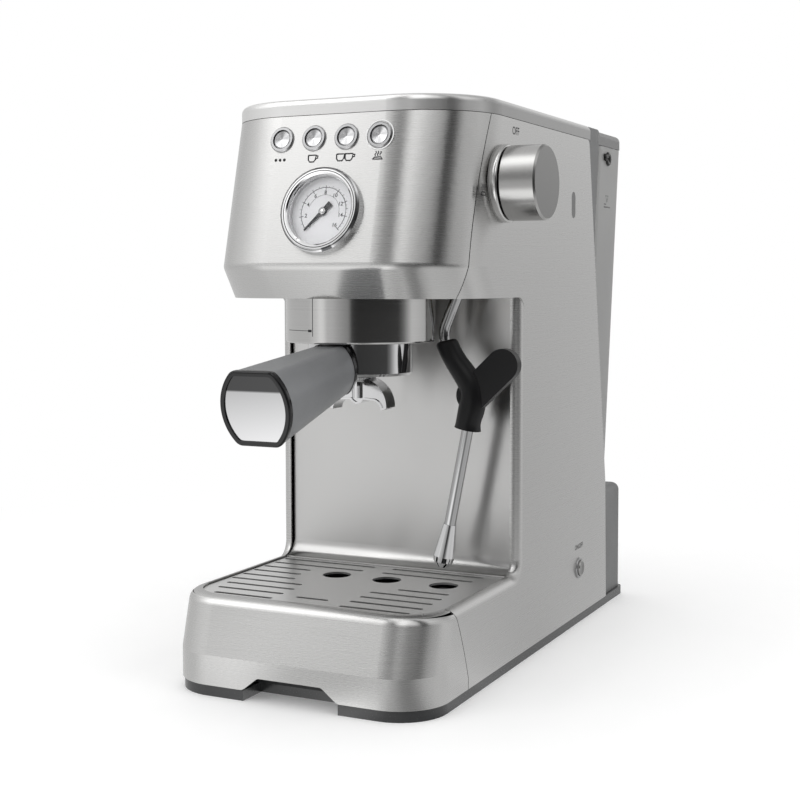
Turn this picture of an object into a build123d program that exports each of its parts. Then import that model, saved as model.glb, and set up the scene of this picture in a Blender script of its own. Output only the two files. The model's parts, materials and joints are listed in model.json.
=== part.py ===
from build123d import *
import math
import os

# Espresso machine, single boiler, 54 mm class filter holder. Millimetres.
# X to the user's right, Y to the back, Z up. The origin is on the standing plane,
# under the middle of the body, in its left-right symmetry plane.

# ---------------------------------------------------------------- driving sizes
GAP = 0.3               # between pieces that move past each other
FIT = 0.05              # radial clearance of a pin or spindle in its bore
SHEET = 1.2             # stainless sheet of the casing

BODY_W = 154.0
PLINTH_H = 5.5
SEAT_GAP = 0.4          # shadow line between sheet and plinth

# head: the front slopes out to a crease and back in below it
HEAD_TOP_Z = 304.0
HEAD_CREASE_Z = 223.7
HEAD_BOTTOM_Z = 207.0
HEAD_TOP_Y = -114.7
HEAD_CREASE_Y = -135.0
HEAD_BOTTOM_Y = -123.2
HEAD_R = 46.0
CREASE_R = 5.0
HEAD_SEAM_TOP_Y = -80.0
HEAD_SEAM_MID = (-94.5, 266.0)
HEAD_SEAM_LOW_Y = -106.0
SEAM = 0.5              # gap between front covers and side panels

# column, between backsplash and tank
COLUMN_Y = -40.0
FOLD_R = 6.0
CORNER_R = 8.0
PANEL_REAR_TOP_Y = 80.0
PANEL_REAR_LOW = (118.0, 84.0)
PANEL_REAR_FOOT_Y = 121.0

# base and drip tray
RIM_Z = 51.0
BASE_CREASE_Z = 21.7
BASE_FRONT_Y = -165.0
BASE_RIM_Y = -157.0
BASE_R = 27.0
BASE_SEAM_TOP_Y = -131.0
BASE_SEAM_MID = (-119.5, 28.0)
BASE_SEAM_LOW = (-113.5, 12.0)
REAR_Y = 163.0
PLINTH_INSET = 1.0
PLINTH_RIM = 4.0
PLINTH_FLOOR = 2.5
NOTCH_HALF_W = 27.7
NOTCH_DEPTH = 18.0
NOTCH_TOP_Z = 13.0
NOTCH_RAMP = 9.0
FOOT_R = 9.0
FOOT_INSET = 19.0
FOOT_FRONT_INSET = 53.0
FOOT_REAR_INSET = 23.0
SCREW_R = 3.5

TRAY_WALL = 2.0
TRAY_SIDE_GAP = 8.0
TRAY_FRONT_Y = -148.5
RIM_W = 6.7
GRILLE_T = 1.2
GRILLE_LIP = 3.0
GRILLE_REAR_Y = -46.5
SLOT_PITCH = 11.6
SLOT_W = 3.0
SLOT_FIRST_Y = -49.5 - 1.5
HOLE_Y = -78.0
HOLE_R = 8.0
HOLE_XS = (-18.9, 12.6, 47.2)
FLOAT_R = 6.2

# backsplash
SPLASH_Y = -37.0
SPLASH_T = 1.0
SPLASH_FOOT_R = 9.0

# top
LID_H = 9.0
LID_EDGE_R = 3.5
CUP_TRAY_INSET = 10.0
CUP_TRAY_SINK = 3.0
CUP_TRAY_T = 1.2

# tank: a slab that leans forward towards its foot
LEAN = 0.134
TANK_BOTTOM_Z = 79.5
TANK_FRONT_Y = 75.5
TANK_DEPTH = 52.3
TANK_INSET = 2.5
TANK_WALL = 2.2
TANK_R = 8.0
HOUSING_TOP_Z = 77.0
HOUSING_INSET = 3.0
HOUSING_WALL = 2.5
TANK_LID_DROP = 0.5      # below the top cover
TANK_LID_HINGE_R = 3.0
TANK_LID_T = 2.0
EAR_INSET = 8.5
PIN_R = 1.4

# brew group, on a vertical axis
GROUP_Y = -84.0
COLLAR_R = 41.0
COLLAR_BOTTOM_Z = 183.0
GROUP_R = 37.2
GROOVE_R = 35.0
LEDGE_R = 30.2
LEDGE_TOP_Z = 187.6
GROOVE_TOP_Z = 196.0
SHELF_Z = 214.0
SHELF_T = 2.0
EAR_SPAN = 40.0
GATE_SPAN = 56.0
UNLOCK = 50.0

# filter holder
HOLDER_R = 28.6
HOLDER_WALL = 1.8
HOLDER_BOTTOM_Z = 165.0
RIM_R = 29.6
EAR_R = 34.4
EAR_T = 3.2
BASKET_R = 25.4
BASKET_T = 0.5
BASKET_DEPTH = 22.0
NECK_R = 10.0
HANDLE_REAR = (0.0, -115.0, 169.8)
HANDLE_FRONT = (0.0, -195.6, 154.8)
HANDLE_FRONT_SIZE = (39.0, 37.4)        # across, and between the flats
HANDLE_REAR_SIZE = (27.0, 25.6)
HANDLE_BOW = 0.65       # radius of the bowed sides, as a share of the width
HANDLE_CORNER = 0.14
RIM_REAR_T = 3.0
RIM_FRONT_T = 3.2
CAP_INSET = 2.2
SPOUT_HUB_R = 9.0
SPOUT_NECK_R = 5.6
SPOUT_DEPTH = 11.0
SPOUT_LIP = 1.0
SPOUT_SHOULDER = (7.0, 2.3)      # from the axis, and below the holder
SPOUT_BOW = (15.3, 8.5)
SPOUT_TIP = (18.2, 18.0)
SPOUT_MOUTH_W = 3.4
SPOUT_MOUTH_Z = 19.4
SPOUT_INNER = ((13.0, 15.5), (9.7, 14.0), (4.0, 13.7), (2.2, 15.4), (0.0, 16.2))

# water ways under the tank, and the cord's gland
DOCK_R = 9.0
VALVE_R = 4.0
GLAND_R = 6.0
GLAND_X = -50.0
GLAND_Z = 24.0

# gauge and push buttons, on the sloping face
GAUGE_Z = 252.8
GAUGE_R = 23.0
GAUGE_CAN_R = 20.0
GAUGE_CAN_DEPTH = 20.0
GAUGE_BEZEL_H = 4.0
DIAL_R = 18.6
NEEDLE_LEN = 14.0
NEEDLE_REST = 225.0     # degrees, from the right-hand side of the dial
BUTTON_Z = 291.5
BUTTON_PITCH = 19.4
BUTTON_RING_R = 7.0
BUTTON_R = 5.0
BUTTON_BORE = BUTTON_R + GAP
BUTTON_TRAVEL = 1.2

# right side
KNOB_Y = -68.0
KNOB_Z = 268.0
KNOB_R = 20.0
KNOB_NECK_R = 15.0
KNOB_START = 6.0        # from the panel to the metal body
KNOB_LEN = 19.5
KNOB_RING_R = 20.8
KNOB_RING_T = 1.6
SPINDLE_R = 3.0
VALVE_INSET = 25.0
WINDOW_Y = 50.0
WINDOW_Z = 262.0
WINDOW_W = 7.0
WINDOW_H = 16.0
SWITCH_Y = 64.0
SWITCH_Z = 35.7
SWITCH_R = 4.75
SWITCH_RING_R = 6.6
SWITCH_TRAVEL = 2.0

# steam wand, bent in a plane parallel to XZ
SOCKET_R = 11.0
BALL_R = 6.0
WAND_Y = -62.0
WAND_R = 3.25
BALL_X, BALL_Z = 50.5, 213.0
WAND_POINTS = ((BALL_X, BALL_Z), (38.7, 184.9), (58.8, 156.1), (43.6, 79.2))
WAND_BENDS = (14.0, 18.0)
WAND_BORE_R = 2.0
SLEEVE_TOP_R = 5.9
SLEEVE_LOW_R = 7.5
SLEEVE_SPAN = (0.225, 0.60)
TAB_END = (75.9, 170.5)
TAB_ROOT = (58.0, 153.5)
TAB_R = 9.0
TAB_T = 6.0
TIP_R = 6.1
TIP_LEN = 22.5

# inside
BOILER = (-38.0, 30.0, -94.0, -40.0, 34.0)     # x0, x1, y0, y1, height
BOILER_FIN = 4.0
BOILER_PITCH = 9.5
PUMP_X = -15.0
PUMP_Z = 42.0
PUMP_R = 19.0
PUMP_SPAN = (-8.0, 38.0)
PUMP_NOSE = (9.0, 12.0)          # radius, length
PUMP_TAIL = (7.0, 14.0)
PUMP_YOKE = (44.0, 34.0, 32.0)
SOLENOID_X = -53.0
SOLENOID_Y = -75.0
SOLENOID_BODY = (18.0, 16.0)     # side, height
SOLENOID_COIL = (22.0, 20.0)
SOLENOID_STEM = (8.0, 44.0)      # radius, height
BOARD_INSET = 10.0
BOARD_T = 1.6
BOARD_SPAN_Y = (-34.8, 55.0)
BOARD_SPAN_Z = (110.0, 190.0)
HOSE_R = 3.0
HOSE_BORE_R = 2.0
PIPE_R = 2.5
PIPE_BORE_R = 1.5

# ---------------------------------------------------------------- derived sizes
HALF_W = BODY_W / 2
TRAY_HALF_W = HALF_W - TRAY_SIDE_GAP
SPLASH_HALF_W = HALF_W - FOLD_R - 0.5
HOUSING_HALF_W = HALF_W - HOUSING_INSET
TANK_HALF_W = HALF_W - TANK_INSET
FOOT_X = HALF_W - FOOT_INSET
FOOT_FRONT_Y = BASE_FRONT_Y + FOOT_FRONT_INSET
FOOT_REAR_Y = REAR_Y - FOOT_REAR_INSET
LID_TOP_Z = HEAD_TOP_Z + LID_H
TANK_LID_TOP_Z = LID_TOP_Z - TANK_LID_DROP
TANK_TOP_Z = HEAD_TOP_Z - 0.8
INNER_W = HALF_W - SHEET
VALVE_X = HALF_W - VALVE_INSET
DOCK_Y = TANK_FRONT_Y + TANK_DEPTH / 2
EAR_X = TANK_HALF_W - EAR_INSET
PLATE_Y = SPLASH_Y + SPLASH_T           # front face of the inner frame's upright
UNDERSIDE_Z = HEAD_BOTTOM_Z + 0.6
UNDERSIDE_T = 2.0
GRILLE_Z = RIM_Z - 1.0
FACE_T = SHEET * math.cos(math.atan2(HEAD_TOP_Y - HEAD_CREASE_Y, HEAD_TOP_Z - HEAD_CREASE_Z))
TANK_LID_FRONT_Y = 102.1
CAP_REAR_Y = TANK_LID_FRONT_Y - 0.4
FAR = 400.0


# ---------------------------------------------------------------- helpers
def box(x0, x1, y0, y1, z0, z1):
    centre = Pos((x0 + x1) / 2, (y0 + y1) / 2, (z0 + z1) / 2)
    return centre * Box(x1 - x0, y1 - y0, z1 - z0)


def rod(r, start, end):
    """A cylinder from one point to another."""
    a, b = Vector(*start), Vector(*end)
    return extrude(Plane(origin=a, z_dir=b - a) * Circle(r), (b - a).length)


def upright(r, x, y, z0, z1):
    return rod(r, (x, y, z0), (x, y, z1))


def slab_x(line, x0, x1):
    """A closed outline of (y, z) edges, extruded from x0 to x1."""
    return Pos(x0, 0, 0) * extrude(make_face(line), x1 - x0, dir=(1, 0, 0))


def yz(*points, close=True):
    return Polyline(*[(0, y, z) for y, z in points], close=close)


def outline(z, front, back, half_w, r):
    """A rectangle at height z with rounded front corners."""
    flat = Pos(0, (front + back) / 2, z) * Rectangle(2 * half_w, back - front)
    return fillet(flat.vertices().sort_by(Axis.Y)[:2], r)


def mirror_x(part):
    return mirror(part, about=Plane.YZ)


def turned(points, x=0.0, y=0.0):
    """A solid of revolution about a vertical axis, from (radius, z) points."""
    face = make_face(Polyline(*[(r, 0, z) for r, z in points], close=True))
    return Pos(x, y, 0) * revolve(face, Axis.Z)


def head_front_y(z):
    """Y of the sloping face above the crease."""
    share = (HEAD_TOP_Z - z) / (HEAD_TOP_Z - HEAD_CREASE_Z)
    return HEAD_TOP_Y + share * (HEAD_CREASE_Y - HEAD_TOP_Y)


def on_face(x, z):
    """A frame on the sloping face: local Z points out of the machine."""
    slope = Vector(0, HEAD_CREASE_Z - HEAD_TOP_Z, HEAD_TOP_Y - HEAD_CREASE_Y)
    return Location(Plane(origin=(x, head_front_y(z), z), x_dir=(1, 0, 0), z_dir=slope))


def tank_front(z):
    return TANK_FRONT_Y + LEAN * (z - TANK_BOTTOM_Z)


# ---------------------------------------------------------------- casing
def head_form(inset, back):
    sections = [
        outline(z, y + inset, back, HALF_W - inset, HEAD_R - inset)
        for z, y in (
            (HEAD_TOP_Z, HEAD_TOP_Y),
            (HEAD_CREASE_Z, HEAD_CREASE_Y),
            (HEAD_BOTTOM_Z, HEAD_BOTTOM_Y),
        )
    ]
    return loft(sections, ruled=True)


def base_form(inset, back, low, top):
    def section(z, front):
        return outline(z, front + inset, back, HALF_W - inset, BASE_R - inset)
    lower = loft([section(low, BASE_FRONT_Y), section(BASE_CREASE_Z, BASE_FRONT_Y)], ruled=True)
    upper = loft([section(BASE_CREASE_Z, BASE_FRONT_Y), section(top, BASE_RIM_Y)], ruled=True)
    return lower + upper


def head_seam(shift):
    """Everything in front of the head's side seam, moved back by shift."""
    top, mid = HEAD_SEAM_TOP_Y + shift, HEAD_SEAM_MID
    low = HEAD_SEAM_LOW_Y + shift
    above, below = HEAD_TOP_Z + 2, HEAD_BOTTOM_Z - 2
    line = Polyline((0, low, HEAD_CREASE_Z), (0, low, below), (0, -FAR, below),
                    (0, -FAR, above), (0, top, above), (0, top, HEAD_TOP_Z))
    line += ThreePointArc((0, top, HEAD_TOP_Z), (0, mid[0] + shift, mid[1]), (0, low, HEAD_CREASE_Z))
    return slab_x(line, -FAR, FAR)


def base_seam(shift):
    """Everything in front of the base's side seam, moved back by shift."""
    top = BASE_SEAM_TOP_Y + shift
    low_y, low_z = BASE_SEAM_LOW[0] + shift, BASE_SEAM_LOW[1]
    line = Polyline((0, low_y, low_z), (0, low_y, -2), (0, -FAR, -2),
                    (0, -FAR, RIM_Z + 2), (0, top, RIM_Z + 2), (0, top, RIM_Z))
    line += ThreePointArc((0, top, RIM_Z), (0, BASE_SEAM_MID[0] + shift, BASE_SEAM_MID[1]),
                          (0, low_y, low_z))
    return slab_x(line, -FAR, FAR)


def head_shell():
    return head_form(0, 0) - head_form(SHEET, 10)


def soft_head_form(inset, back):
    form = head_form(inset, back)
    crease = [e for e in form.edges().filter_by(Axis.X) if abs(e.center().Z - HEAD_CREASE_Z) < 0.01]
    return fillet([e for e in crease if e.center().Y < 0], CREASE_R - inset)


def head_cover():
    shell = (soft_head_form(0, 0) - soft_head_form(SHEET, 10)) & head_seam(-SEAM / 2)
    shell -= on_face(0, GAUGE_Z) * Cylinder(GAUGE_CAN_R + GAP, 20)
    for x in button_xs():
        shell -= on_face(x, BUTTON_Z) * Cylinder(BUTTON_RING_R - 1, 20)
    return shell


def panel_blank():
    """The right-hand sheet before its holes: head, column and base in one C."""
    split_y = COLUMN_Y - 20
    head = head_shell() - head_seam(SEAM / 2)
    head &= box(0, FAR, -FAR, split_y, 0, FAR)
    foot = PLINTH_H + SEAT_GAP
    edge_y, edge_z = COLUMN_Y + FOLD_R, RIM_Z - FOLD_R
    side = yz((split_y, HEAD_TOP_Z), (split_y, HEAD_BOTTOM_Z), (edge_y, HEAD_BOTTOM_Z),
              (edge_y, edge_z), (-FAR / 2, edge_z), (-FAR / 2, foot),
              (PANEL_REAR_FOOT_Y, foot), PANEL_REAR_LOW, (PANEL_REAR_TOP_Y, HEAD_TOP_Z))
    sheet = slab_x(side, INNER_W, HALF_W)
    inner = [e for e in sheet.edges().filter_by(Axis.X) if abs(e.center().Y - edge_y) < 0.01]
    sheet = fillet([e for e in inner if e.center().Z > 100], CORNER_R)
    lower = [e for e in sheet.edges().filter_by(Axis.X)
             if abs(e.center().Y - edge_y) < 0.01 and e.center().Z < 100]
    sheet = fillet(lower, CORNER_R + FOLD_R)
    top_rear = [e for e in sheet.edges().filter_by(Axis.X)
                if abs(e.center().Y - PANEL_REAR_TOP_Y) < 0.01]
    sheet = fillet(top_rear, CORNER_R / 2)
    return head + (sheet - base_seam(SEAM / 2)) + panel_fold()


def panel_fold():
    """The rolled edge of the cut-out: down the column and along the base."""
    edge_y, edge_z = COLUMN_Y + FOLD_R, RIM_Z - FOLD_R
    top = HEAD_BOTTOM_Z
    path = FilletPolyline((HALF_W, edge_y, top), (HALF_W, edge_y, edge_z),
                          (HALF_W, BASE_FRONT_Y, edge_z), radius=CORNER_R + FOLD_R)
    centre = (HALF_W - FOLD_R, edge_y, top)
    ring = Pos(*centre) * (Circle(FOLD_R) - Circle(FOLD_R - SHEET))
    quarter = ring & Pos(centre[0] + FOLD_R / 2, centre[1] - FOLD_R / 2, top) * Rectangle(FOLD_R, FOLD_R)
    return sweep(quarter, path=path) - base_seam(SEAM / 2)


def side_panel_right():
    panel = panel_blank()
    panel -= rod(SPINDLE_R + 3, (INNER_W - 5, KNOB_Y, KNOB_Z), (HALF_W + 5, KNOB_Y, KNOB_Z))
    slot = SlotOverall(WINDOW_H, WINDOW_W, rotation=90)
    frame = Plane(origin=(INNER_W - 5, WINDOW_Y, WINDOW_Z), x_dir=(0, 1, 0), z_dir=(1, 0, 0))
    panel -= extrude(frame * slot, 12)
    return panel - rod(SWITCH_RING_R - 0.7, (INNER_W - 5, SWITCH_Y, SWITCH_Z),
                       (HALF_W + 5, SWITCH_Y, SWITCH_Z))


def side_panel_left():
    return mirror_x(panel_blank())


def head_underside():
    inset = SHEET + GAP
    front = HEAD_BOTTOM_Y + inset
    plate = extrude(outline(UNDERSIDE_Z, front, SPLASH_Y - 0.2, HALF_W - inset, HEAD_R - inset), UNDERSIDE_T)
    plate -= upright(GROUP_R + GAP, 0, GROUP_Y, 0, FAR)
    return plate - upright(SOCKET_R + GAP, BALL_X, WAND_Y, 0, FAR)


def backsplash():
    z_top = UNDERSIDE_Z
    foot_y = SPLASH_Y - SPLASH_FOOT_R
    bend_z = RIM_Z + SPLASH_FOOT_R
    back = SPLASH_Y + SPLASH_T
    outer_r = SPLASH_FOOT_R + SPLASH_T
    s = math.sqrt(0.5)
    line = Polyline((0, SPLASH_Y, bend_z), (0, SPLASH_Y, z_top), (0, back, z_top), (0, back, bend_z))
    line += ThreePointArc((0, back, bend_z), (0, foot_y + outer_r * s, bend_z - outer_r * s),
                          (0, foot_y, RIM_Z - SPLASH_T))
    line += Line((0, foot_y, RIM_Z - SPLASH_T), (0, foot_y, RIM_Z))
    line += ThreePointArc((0, foot_y, RIM_Z),
                          (0, foot_y + SPLASH_FOOT_R * s, bend_z - SPLASH_FOOT_R * s),
                          (0, SPLASH_Y, bend_z))
    return slab_x(line, -SPLASH_HALF_W, SPLASH_HALF_W)


def top_form(z, inset, back):
    return outline(z, HEAD_TOP_Y + inset, back - inset, HALF_W - inset, HEAD_R - inset)


def top_cover():
    back = PANEL_REAR_TOP_Y + 2
    cover = extrude(top_form(HEAD_TOP_Z + GAP, 0, back), LID_TOP_Z - HEAD_TOP_Z - GAP)
    cover = fillet(cover.edges().filter_by(Plane.XY).group_by(Axis.Z)[-1], LID_EDGE_R)
    wall = 2.5
    hollow = extrude(top_form(HEAD_TOP_Z, wall, back), LID_TOP_Z - HEAD_TOP_Z - CUP_TRAY_SINK - 2)
    recess = extrude(top_form(LID_TOP_Z - CUP_TRAY_SINK, CUP_TRAY_INSET, back), CUP_TRAY_SINK)
    return cover - hollow - recess


def cup_tray():
    back = PANEL_REAR_TOP_Y + 2
    inset = CUP_TRAY_INSET + GAP
    floor = LID_TOP_Z - CUP_TRAY_SINK
    plate = extrude(top_form(floor, inset, back), CUP_TRAY_T)
    rib_half = HALF_W - inset - 14
    first = HEAD_TOP_Y + inset + 22
    count = 12
    pitch = (back - inset - 14 - first) / (count - 1)
    for i in range(count):
        y = first + i * pitch
        plate += box(-rib_half, rib_half, y - 1.5, y + 1.5, floor + CUP_TRAY_T, floor + CUP_TRAY_T + 0.8)
    return plate


def rear_cover():
    """The plastic wall in front of the tank, parallel to it, with its cap on top."""
    top = HEAD_TOP_Z - GAP
    low = HOUSING_TOP_Z
    half = INNER_W - GAP
    front = tank_front(low) - 9
    off = 1.0
    form = slab_x(yz((front, low), (tank_front(low) - off, low),
                     (tank_front(top) - off, top), (front, top)), -half, half)
    wall = 2.5
    back = off + wall
    form -= slab_x(yz((0, low - 1), (tank_front(low) - back, low - 1),
                      (tank_front(top + 1) - back, top + 1), (0, top + 1)),
                   -half + wall, half - wall)
    cap_front = PANEL_REAR_TOP_Y + 2 + GAP
    cap = box(-half, half, cap_front, CAP_REAR_Y, top, TANK_LID_TOP_Z)
    cap -= box(-half + wall, half - wall, cap_front + wall, CAP_REAR_Y - wall, top - 1, TANK_LID_TOP_Z - 2)
    return form + cap


# ---------------------------------------------------------------- base
def plinth_outline(z):
    front = BASE_FRONT_Y + PLINTH_INSET
    flat = outline(z, front, REAR_Y, HALF_W - PLINTH_INSET, BASE_R - PLINTH_INSET)
    return fillet(flat.vertices().sort_by(Axis.Y)[-2:], 6)


def base_plate():
    plate = extrude(plinth_outline(0), PLINTH_H)
    hollow = offset(plinth_outline(0), -PLINTH_RIM)
    plate -= extrude(hollow, PLINTH_H - PLINTH_FLOOR)
    front = BASE_FRONT_Y + PLINTH_INSET
    wall = PLINTH_RIM
    plate += box(-NOTCH_HALF_W - wall, NOTCH_HALF_W + wall, front + 1,
                 front + NOTCH_DEPTH + wall, 0, PLINTH_H)
    plate -= box(-NOTCH_HALF_W, NOTCH_HALF_W, front - 5, front + NOTCH_DEPTH, -1, PLINTH_H + 1)
    for x, y in foot_places():
        plate += upright(FOOT_R + 2, x, y, 1.0, PLINTH_H) - upright(FOOT_R, x, y, 0, PLINTH_H - PLINTH_FLOOR)
    return plate


def foot_places():
    return [(x, y) for x in (-FOOT_X, FOOT_X) for y in (FOOT_FRONT_Y, FOOT_REAR_Y)]


def rubber_feet():
    pads = [upright(FOOT_R - 0.2, x, y, 0, PLINTH_H - PLINTH_FLOOR) for x, y in foot_places()]
    return Compound(pads)


def tray_front():
    low = PLINTH_H + SEAT_GAP
    back = BASE_SEAM_LOW[0] + 10
    form = base_form(0, back, low, RIM_Z)
    top = [e for e in form.edges() if abs(e.center().Z - RIM_Z) < 0.01 and e.center().Y < back - 1]
    form = fillet(top, FOLD_R)
    form -= base_form(SHEET, back + 10, low, RIM_Z - SHEET)
    opening = outline(RIM_Z - 10, BASE_RIM_Y + RIM_W, back + 10, HALF_W - RIM_W, BASE_R - RIM_W)
    form -= extrude(opening, 20)
    form &= base_seam(-SEAM / 2)
    ramp = NOTCH_HALF_W - NOTCH_RAMP
    wide = 2 * NOTCH_HALF_W
    arch = [(-wide, low - 5), (-wide, low), (-NOTCH_HALF_W, low), (-ramp, NOTCH_TOP_Z),
            (ramp, NOTCH_TOP_Z), (NOTCH_HALF_W, low), (wide, low), (wide, low - 5)]
    notch = make_face(Polyline(*[(x, 0, z) for x, z in arch], close=True))
    cutter = Pos(0, BASE_FRONT_Y - 5, 0) * extrude(notch, 20, dir=(0, 1, 0))
    corners = [e for e in cutter.edges().filter_by(Axis.Y) if abs(e.center().X) < wide - 1]
    cutter = fillet(corners, 4)
    return form - cutter


def drip_tray():
    low = PLINTH_H + GAP
    top = GRILLE_Z - GRILLE_T - GAP
    rear = GRILLE_REAR_Y - GRILLE_LIP / 3
    r = BASE_R - RIM_W
    form = extrude(outline(low, TRAY_FRONT_Y, rear, TRAY_HALF_W, r), top - low)
    inner = outline(low + TRAY_WALL, TRAY_FRONT_Y + TRAY_WALL, rear - TRAY_WALL,
                    TRAY_HALF_W - TRAY_WALL, r - TRAY_WALL)
    form -= extrude(inner, top)
    cage_in = FLOAT_R + GAP
    x = HOLE_XS[2]
    cage = upright(cage_in + 1.5, x, HOLE_Y, low + TRAY_WALL, top - 6)
    cage -= upright(cage_in, x, HOLE_Y, low + TRAY_WALL, top)
    cage -= box(x - 2, x + 2, HOLE_Y - 20, HOLE_Y + 20, low + TRAY_WALL, top)
    form += cage
    for side in (-1, 1):
        tab_x = side * (TRAY_HALF_W - 25)
        form += box(tab_x - 4, tab_x + 4, BASE_FRONT_Y, TRAY_FRONT_Y + 1, 24, 32)
    return form & base_form(SHEET, 0, low, RIM_Z - SHEET)


def slot_row(x0, x1, y):
    return Pos((x0 + x1) / 2, y, GRILLE_Z - 5) * extrude(SlotOverall(x1 - x0, SLOT_W), 10)


def grille():
    half = HALF_W - RIM_W - GAP
    front = BASE_RIM_Y + RIM_W + GAP
    plate = extrude(outline(GRILLE_Z - GRILLE_T, front, GRILLE_REAR_Y, half, BASE_R - RIM_W), GRILLE_T)
    left = ((1, -8), (1, -10), (1, -38), (1, -38), (1, -35), (1, -24), (5, -22), (7, -22), (12, -22))
    right = ((10, 3), (12, 2), None, None, (11, 29), (10, 18), (10, 18), (10, 18), (12, 18))
    for row, (inset, inner) in enumerate(left):
        plate -= slot_row(inset - half, inner, SLOT_FIRST_Y - row * SLOT_PITCH)
    for row, span in enumerate(right):
        if span:
            plate -= slot_row(span[1], half - span[0], SLOT_FIRST_Y - row * SLOT_PITCH)
    plate -= slot_row(-12, 7, SLOT_FIRST_Y - 7.3 * SLOT_PITCH)
    for x in HOLE_XS:
        plate -= upright(HOLE_R, x, HOLE_Y, 0, FAR)
    return plate


def tray_float():
    floor = PLINTH_H + GAP + TRAY_WALL
    x = HOLE_XS[2]
    body = upright(FLOAT_R, x, HOLE_Y, floor + GAP, GRILLE_Z - GRILLE_T - 1)
    return fillet(body.edges().filter_by(GeomType.CIRCLE).group_by(Axis.Z)[-1], 2)


def rear_housing():
    low = PLINTH_H
    front = TANK_FRONT_Y - 9
    form = box(-HOUSING_HALF_W, HOUSING_HALF_W, front, REAR_Y, low, HOUSING_TOP_Z)
    form = fillet([e for e in form.edges().filter_by(Axis.Z) if e.center().Y > REAR_Y - 1], 6)
    form = fillet([e for e in form.edges().group_by(Axis.Z)[-1] if e.center().Y > REAR_Y - 12], 5)
    form -= box(-HOUSING_HALF_W + HOUSING_WALL, HOUSING_HALF_W - HOUSING_WALL, front - 1,
                REAR_Y - HOUSING_WALL, low - 1, HOUSING_TOP_Z - HOUSING_WALL)
    for x in (17 - HALF_W, HALF_W - 17):
        form += box(x - 3, x + 3, DOCK_Y - 15, DOCK_Y + 15, HOUSING_TOP_Z, TANK_BOTTOM_Z - GAP)
    form -= upright(DOCK_R, 0, DOCK_Y, HOUSING_TOP_Z - 10, HOUSING_TOP_Z + 1)
    form -= rod(SWITCH_RING_R + 2.5, (0, SWITCH_Y, SWITCH_Z), (HALF_W, SWITCH_Y, SWITCH_Z))
    return form - rod(GLAND_R, (GLAND_X, REAR_Y - 10, GLAND_Z), (GLAND_X, REAR_Y + 1, GLAND_Z))


# ---------------------------------------------------------------- tank
def tank_column(inset, z0, z1):
    """A leaning rounded prism between two heights."""
    y0 = tank_front(z0) + inset
    y1 = tank_front(z0) + TANK_DEPTH - inset
    half = TANK_HALF_W - inset
    flat = Pos(0, (y0 + y1) / 2, z0) * RectangleRounded(2 * half, y1 - y0, TANK_R - inset)
    rise = z1 - z0
    return extrude(flat, rise * math.hypot(1, LEAN), dir=(0, LEAN, 1))


def lid_hinge():
    return TANK_LID_FRONT_Y + TANK_LID_HINGE_R, TANK_LID_TOP_Z - TANK_LID_HINGE_R


def tank_body():
    body = tank_column(0, TANK_BOTTOM_Z, TANK_TOP_Z)
    body -= tank_column(TANK_WALL, TANK_BOTTOM_Z + TANK_WALL + 0.8, TANK_TOP_Z + 2)
    hinge_y, hinge_z = lid_hinge()
    for side in (-1, 1):
        x = side * EAR_X
        ear = box(x - 2, x + 2, tank_front(TANK_TOP_Z), hinge_y + TANK_LID_HINGE_R - 0.4,
                  TANK_TOP_Z - 12, hinge_z)
        ear += rod(TANK_LID_HINGE_R - 0.4, (x - 2, hinge_y, hinge_z), (x + 2, hinge_y, hinge_z))
        body += ear - rod(PIN_R + FIT, (x - 5, hinge_y, hinge_z), (x + 5, hinge_y, hinge_z))
    return body - upright(VALVE_R, 0, DOCK_Y, TANK_BOTTOM_Z - 1, TANK_BOTTOM_Z + 8)


def tank_lid():
    hinge_y, hinge_z = lid_hinge()
    rear = tank_front(TANK_TOP_Z) + TANK_DEPTH + 0.5
    half = TANK_HALF_W
    low = TANK_TOP_Z + GAP
    form = box(-half, half, hinge_y, rear, low, TANK_LID_TOP_Z)
    form = fillet([e for e in form.edges().filter_by(Axis.Z) if e.center().Y > rear - 1], 7)
    form = fillet([e for e in form.edges().group_by(Axis.Z)[-1] if e.center().Y > hinge_y + 1], 4)
    form -= box(-half + TANK_LID_T, half - TANK_LID_T, hinge_y - 1, rear - TANK_LID_T,
                low - 1, TANK_LID_TOP_Z - TANK_LID_T)
    form += rod(TANK_LID_HINGE_R, (-half, hinge_y, hinge_z), (half, hinge_y, hinge_z))
    for side in (-1, 1):
        x = side * EAR_X
        gap = 2 + GAP
        form -= box(x - gap, x + gap, hinge_y - 5, hinge_y + TANK_LID_HINGE_R + GAP, low - 1, FAR)
        form += rod(PIN_R, (x - gap, hinge_y, hinge_z), (x + gap, hinge_y, hinge_z))
    return form


def tank_valve():
    stem = upright(VALVE_R, 0, DOCK_Y, TANK_BOTTOM_Z - 6, TANK_BOTTOM_Z + TANK_WALL + 0.8)
    stem += upright(VALVE_R + 3, 0, DOCK_Y, TANK_BOTTOM_Z + TANK_WALL + 0.8, TANK_BOTTOM_Z + 8)
    return stem - upright(1.5, 0, DOCK_Y, 0, FAR)


def tank_dock():
    cup = upright(DOCK_R, 0, DOCK_Y, HOUSING_TOP_Z - 16, HOUSING_TOP_Z)
    cup += upright(DOCK_R + 4, 0, DOCK_Y, HOUSING_TOP_Z - HOUSING_WALL - 2, HOUSING_TOP_Z - HOUSING_WALL)
    cup -= upright(VALVE_R + 1.5, 0, DOCK_Y, TANK_BOTTOM_Z - 7, FAR)
    cup += upright(3, 0, DOCK_Y, HOUSING_TOP_Z - 24, HOUSING_TOP_Z - 16)
    return cup - upright(1.5, 0, DOCK_Y, 0, FAR)


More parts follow.
